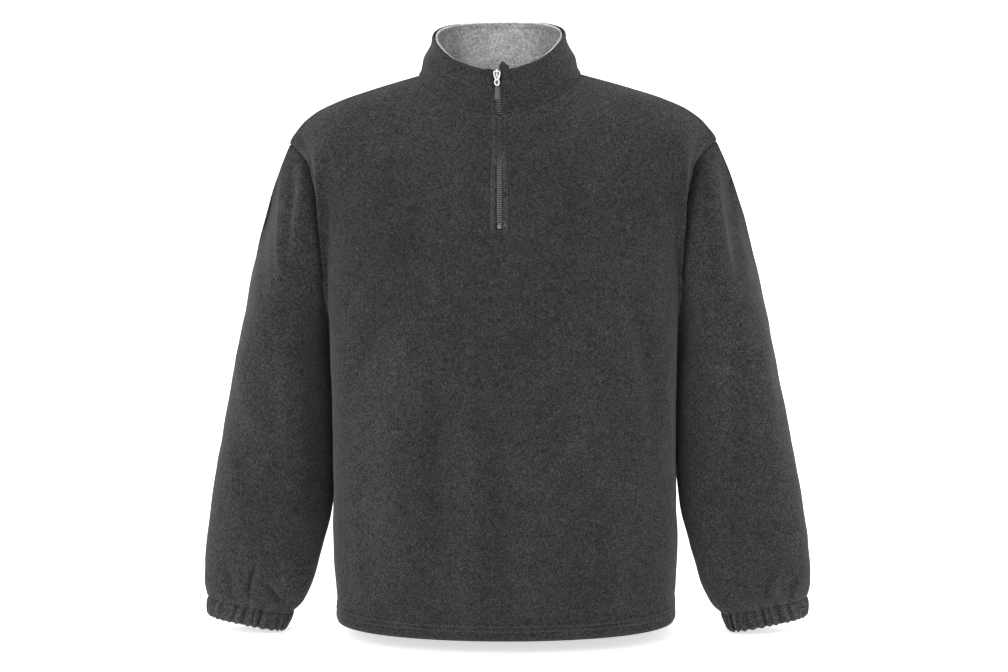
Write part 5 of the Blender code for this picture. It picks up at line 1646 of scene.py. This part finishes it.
class PULLOVER_OT_collar(bpy.types.Operator):
    """Make the collar and its lighter inner layer"""

    bl_idname = "pullover.collar"
    bl_label = "Collar"

    def execute(self, context):
        """Meshes of the collar and of its inner layer, each one sheet."""
        cut = cloth_now()
        outer = add_cloth("collar_cloth", cut["collar"], charcoal())
        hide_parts("collar_outer")
        inner = add_cloth("collar_lining_cloth", cut["collar_inner"], light_grey())
        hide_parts("collar_inner")
        return {"FINISHED"}


class PULLOVER_OT_stitches(bpy.types.Operator):
    """Lay every row of stitches"""

    bl_idname = "pullover.stitches"
    bl_label = "Stitches"

    def execute(self, context):
        """Threads along distances from the cloth's edges."""
        cut = cloth_now()
        settings = context.scene.pullover.stitch
        dark_thread = finish("charcoal_thread", thread, tuple(settings.colour))
        panels = (cut["front"], cut["back"])
        hems = [path_on(panel, "foot", row, *HEM_SPAN) for panel in panels for row in HEM_STITCHES]
        add_stitches("hem_stitches", hems, settings, dark_thread)
        bands = [zip_band_path(cut["front"], side) for side in (-1, 1)]
        add_stitches("zip_band_stitches", bands, settings, dark_thread)
        sides = ("first", "last")
        upper = [path_on(panel, edge, *ARMHOLE_STITCHES) for panel in panels for edge in sides]
        add_stitches("armhole_stitches", upper, settings, dark_thread)
        light_thread = finish("light_thread", thread, LIGHT_THREAD)
        inner = dict(cut["collar_inner"])
        inner["outer"], inner["normals"] = inner["inner"], -inner["normals"]
        round_neck = [path_on(inner, "top", *COLLAR_STITCH_ROW)]
        add_stitches("collar_stitches", round_neck, settings, light_thread)
        return {"FINISHED"}


def zip_band_path(cut, side):
    """Up one side of the zip, in the furrow beside its band, from below its lower end."""
    grid, normals, distances = cut["outer"], cut["normals"], cut["distances"]
    centre = grid.shape[1] // 2
    half = slice(centre, None) if side > 0 else slice(centre - 1, None, -1)
    grid, normals = grid[:, half], normals[:, half]
    along = travelled(grid, 1)
    columns = row_at(along.T, BAND_WIDTH + BAND_FURROW)
    up = distances["foot"][:, centre]
    slit_row = panel_rows()[2]
    start = np.interp(up[slit_row] - BAND_BELOW + 0.001, up, np.arange(len(up)))
    rows = np.linspace(start, len(up) - 1, 500)
    columns = np.interp(rows, np.arange(len(up)), columns)
    return read(grid, rows, columns), unit(read(normals, rows, columns))


class PULLOVER_OT_zip(bpy.types.Operator):
    """Make the zip: tapes, teeth, bottom stop, slider and pull"""

    bl_idname = "pullover.zip"
    bl_label = "Zip"

    def execute(self, context):
        """Everything placed by its distance along the zip's middle line."""
        settings = context.scene.pullover.zip
        tape_finish = finish("woven_zip_tape", woven_tape, tuple(settings.tape))
        for side, name in ((1, "right"), (-1, "left")):
            tape = add_cloth("tape_cloth_" + name, tape_cut(side), tape_finish)
            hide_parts("zip_tape_" + name)
        plastic = finish("satin_grey_teeth", moulded, tuple(settings.teeth), 0.42)
        middle = slider_distance()
        start, end = STOP_FOOT + STOP_HEIGHT, middle - CHAIN_TOP_BELOW_SLIDER
        chain = [*tooth_grids(start, end), *rail_grids(start, end)]
        teeth = add_grids("zip_teeth", chain, plastic, "garment")
        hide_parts("zip_chain")
        point, up, out = along_zip(STOP_FOOT + STOP_HEIGHT / 2)
        form = pebble((STOP_HALF, STOP_HEIGHT / 2, STOP_DEEP), STOP_ROUND, 13, 24)
        centre = point - out * (TOOTH_BEHIND + TOOTH_DEEP - STOP_FORWARD)
        stop = placed(form, centre, (ACROSS, up, out))
        stop = add_grids("zip_lower_stop", [stop], plastic, "garment")
        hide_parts("zip_bottom_stop")
        metal = finish("bright_plated_metal", plated_metal, tuple(settings.metal))
        point, up, out = along_zip(middle)
        axes = (ACROSS, up, out)
        body, bail = slider_grids(point, axes)
        # the plates take the darker copy of the plated metal, as painted shade
        shaded_plates = finish("dulled_plated_metal", plated_metal, tuple(settings.shaded_metal))
        slider = add_grids("slider_plates", body, shaded_plates, "garment", METAL_SHARP)
        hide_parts("zip_slider")
        bail = add_grids("slider_bail", bail, metal, "garment", METAL_SHARP)
        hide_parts("zip_slider")
        hinge = point + out * HINGE_OUT
        stirrup = stirrup_grids(hinge, HANGING)
        stirrup = add_grids("pull_stirrup", stirrup, metal, "pull", METAL_SHARP)
        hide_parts("zip_pull")
        loop = outline_loop(TAB_OUTLINE, 64, 0.35)
        tab = plate_grid(loop, -TAB_THICK / 2, TAB_THICK / 2, TAB_ROUND, TAB_CROWN)
        tab = placed(tab, hinge, HANGING)
        tab_finish = finish("grey_moulded_tab", moulded, tuple(settings.tab), 0.5)
        tab = add_grids("pull_tab", [tab], tab_finish, "pull", TAB_SHARP)
        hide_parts("zip_pull_tab")
        return {"FINISHED"}


def add_light(name, place, target, size, power):
    """A soft square light that faces its target."""
    data = bpy.data.lights.new(name, "AREA")
    data.shape = "SQUARE"
    data.size = size
    data.energy = power
    light = new_object(name, data)
    light.location = place
    light.rotation_euler = (Vector(target) - Vector(place)).to_track_quat("-Z", "Y").to_euler()


def paper_sweep(floor, near, far, half_width, radius, height):
    """Floor and backdrop in one: a profile that runs back level, turns up a quarter circle and
    goes straight up, carried across."""
    turns = np.linspace(-math.pi / 2, 0, 17)
    y = np.concatenate([[near], far - radius + radius * np.cos(turns), [far]])
    z = np.concatenate([[floor], floor + radius + radius * np.sin(turns), [floor + height]])
    x = np.array([-half_width, half_width])
    return np.stack(np.broadcast_arrays(x[None, :], y[:, None], z[:, None]), -1)


class PULLOVER_OT_stage(bpy.types.Operator):
    """Set the floor and backdrop, the lights and the camera"""

    bl_idname = "pullover.stage"
    bl_label = "Stage"

    def execute(self, context):
        """Camera at a distance along its azimuth and elevation from the target."""
        now = context.scene.pullover.stage
        scene = context.scene
        target = Vector((0.0, 0.0, AIM_Z))
        sweep = paper_sweep(CAD_BOX[0][2] - FLOOR_BELOW, *SWEEP)
        mesh = bpy.data.meshes.new("studio_paper")
        faces = grid_quads(*sweep.shape[:2]).reshape(-1, 4)
        mesh.from_pydata(sweep.reshape(-1, 3), [], faces)
        mesh.materials.append(finish("studio_paper", studio_paper, tuple(now.paper), now.glow))
        mesh.shade_smooth()
        backdrop = new_object("studio_paper", mesh)
        world = bpy.data.worlds.new("even_light")
        world.use_nodes = True
        background = world.node_tree.nodes["Background"].inputs
        background["Color"].default_value = (1.0, 1.0, 1.0, 1.0)
        background["Strength"].default_value = now.sky
        scene.world = world
        for name, place, size, share in LIGHTS:
            add_light(name, place, target, size, share * now.key)
        data = bpy.data.cameras.new("studio_camera")
        data.lens = now.lens
        data.sensor_width = 36.0
        data.dof.use_dof = False
        camera = new_object("studio_camera", data)
        turn, flat = now.azimuth, math.cos(now.elevation)
        away = Vector((math.sin(turn) * flat, -math.cos(turn) * flat, math.sin(now.elevation)))
        camera.location = target + now.distance * away
        look = (-away).to_track_quat("-Z", "Y").to_matrix() @ Matrix.Rotation(now.roll, 3, "Z")
        camera.rotation_euler = look.to_euler()
        scene.camera = camera
        scene.view_settings.view_transform = "Standard"
        return {"FINISHED"}


class PULLOVER_PT_panel(bpy.types.Panel):
    """Lists the pullover's operators"""

    bl_label = "Pullover"
    bl_idname = "PULLOVER_PT_panel"
    bl_space_type = "VIEW_3D"
    bl_region_type = "UI"
    bl_category = "Pullover"

    def draw(self, context):
        """One button for each operator, then each group's settings in a box."""
        for operator in OPERATORS:
            self.layout.operator(operator.bl_idname)
        for group in ("fleece", "stitch", "zip", "stage"):
            settings = getattr(context.scene.pullover, group)
            box = self.layout.box()
            for name in settings.bl_rna.properties.keys():
                if name not in ("rna_type", "name"):
                    box.prop(settings, name)


OPERATORS = (
    PULLOVER_OT_body,
    PULLOVER_OT_sleeves,
    PULLOVER_OT_collar,
    PULLOVER_OT_stitches,
    PULLOVER_OT_zip,
    PULLOVER_OT_stage,
)
SETTINGS = (FleeceSettings, StitchSettings, ZipSettings, StageSettings, PulloverSettings)
CLASSES = (*SETTINGS, *OPERATORS, PULLOVER_PT_panel)


def register():
    """Adds the classes and the scene's settings to Blender."""
    for each in CLASSES:
        bpy.utils.register_class(each)
    bpy.types.Scene.pullover = bpy.props.PointerProperty(type=PulloverSettings)


def unregister():
    """Takes them away again."""
    del bpy.types.Scene.pullover
    for each in reversed(CLASSES):
        bpy.utils.unregister_class(each)


def main():
    """Builds the garment and its stage."""
    register()
    bpy.ops.pullover.collar()
    bpy.ops.pullover.body()
    bpy.ops.pullover.sleeves()
    bpy.ops.pullover.stitches()
    bpy.ops.pullover.zip()
    bpy.ops.pullover.stage()


if __name__ == "__main__":
    main()
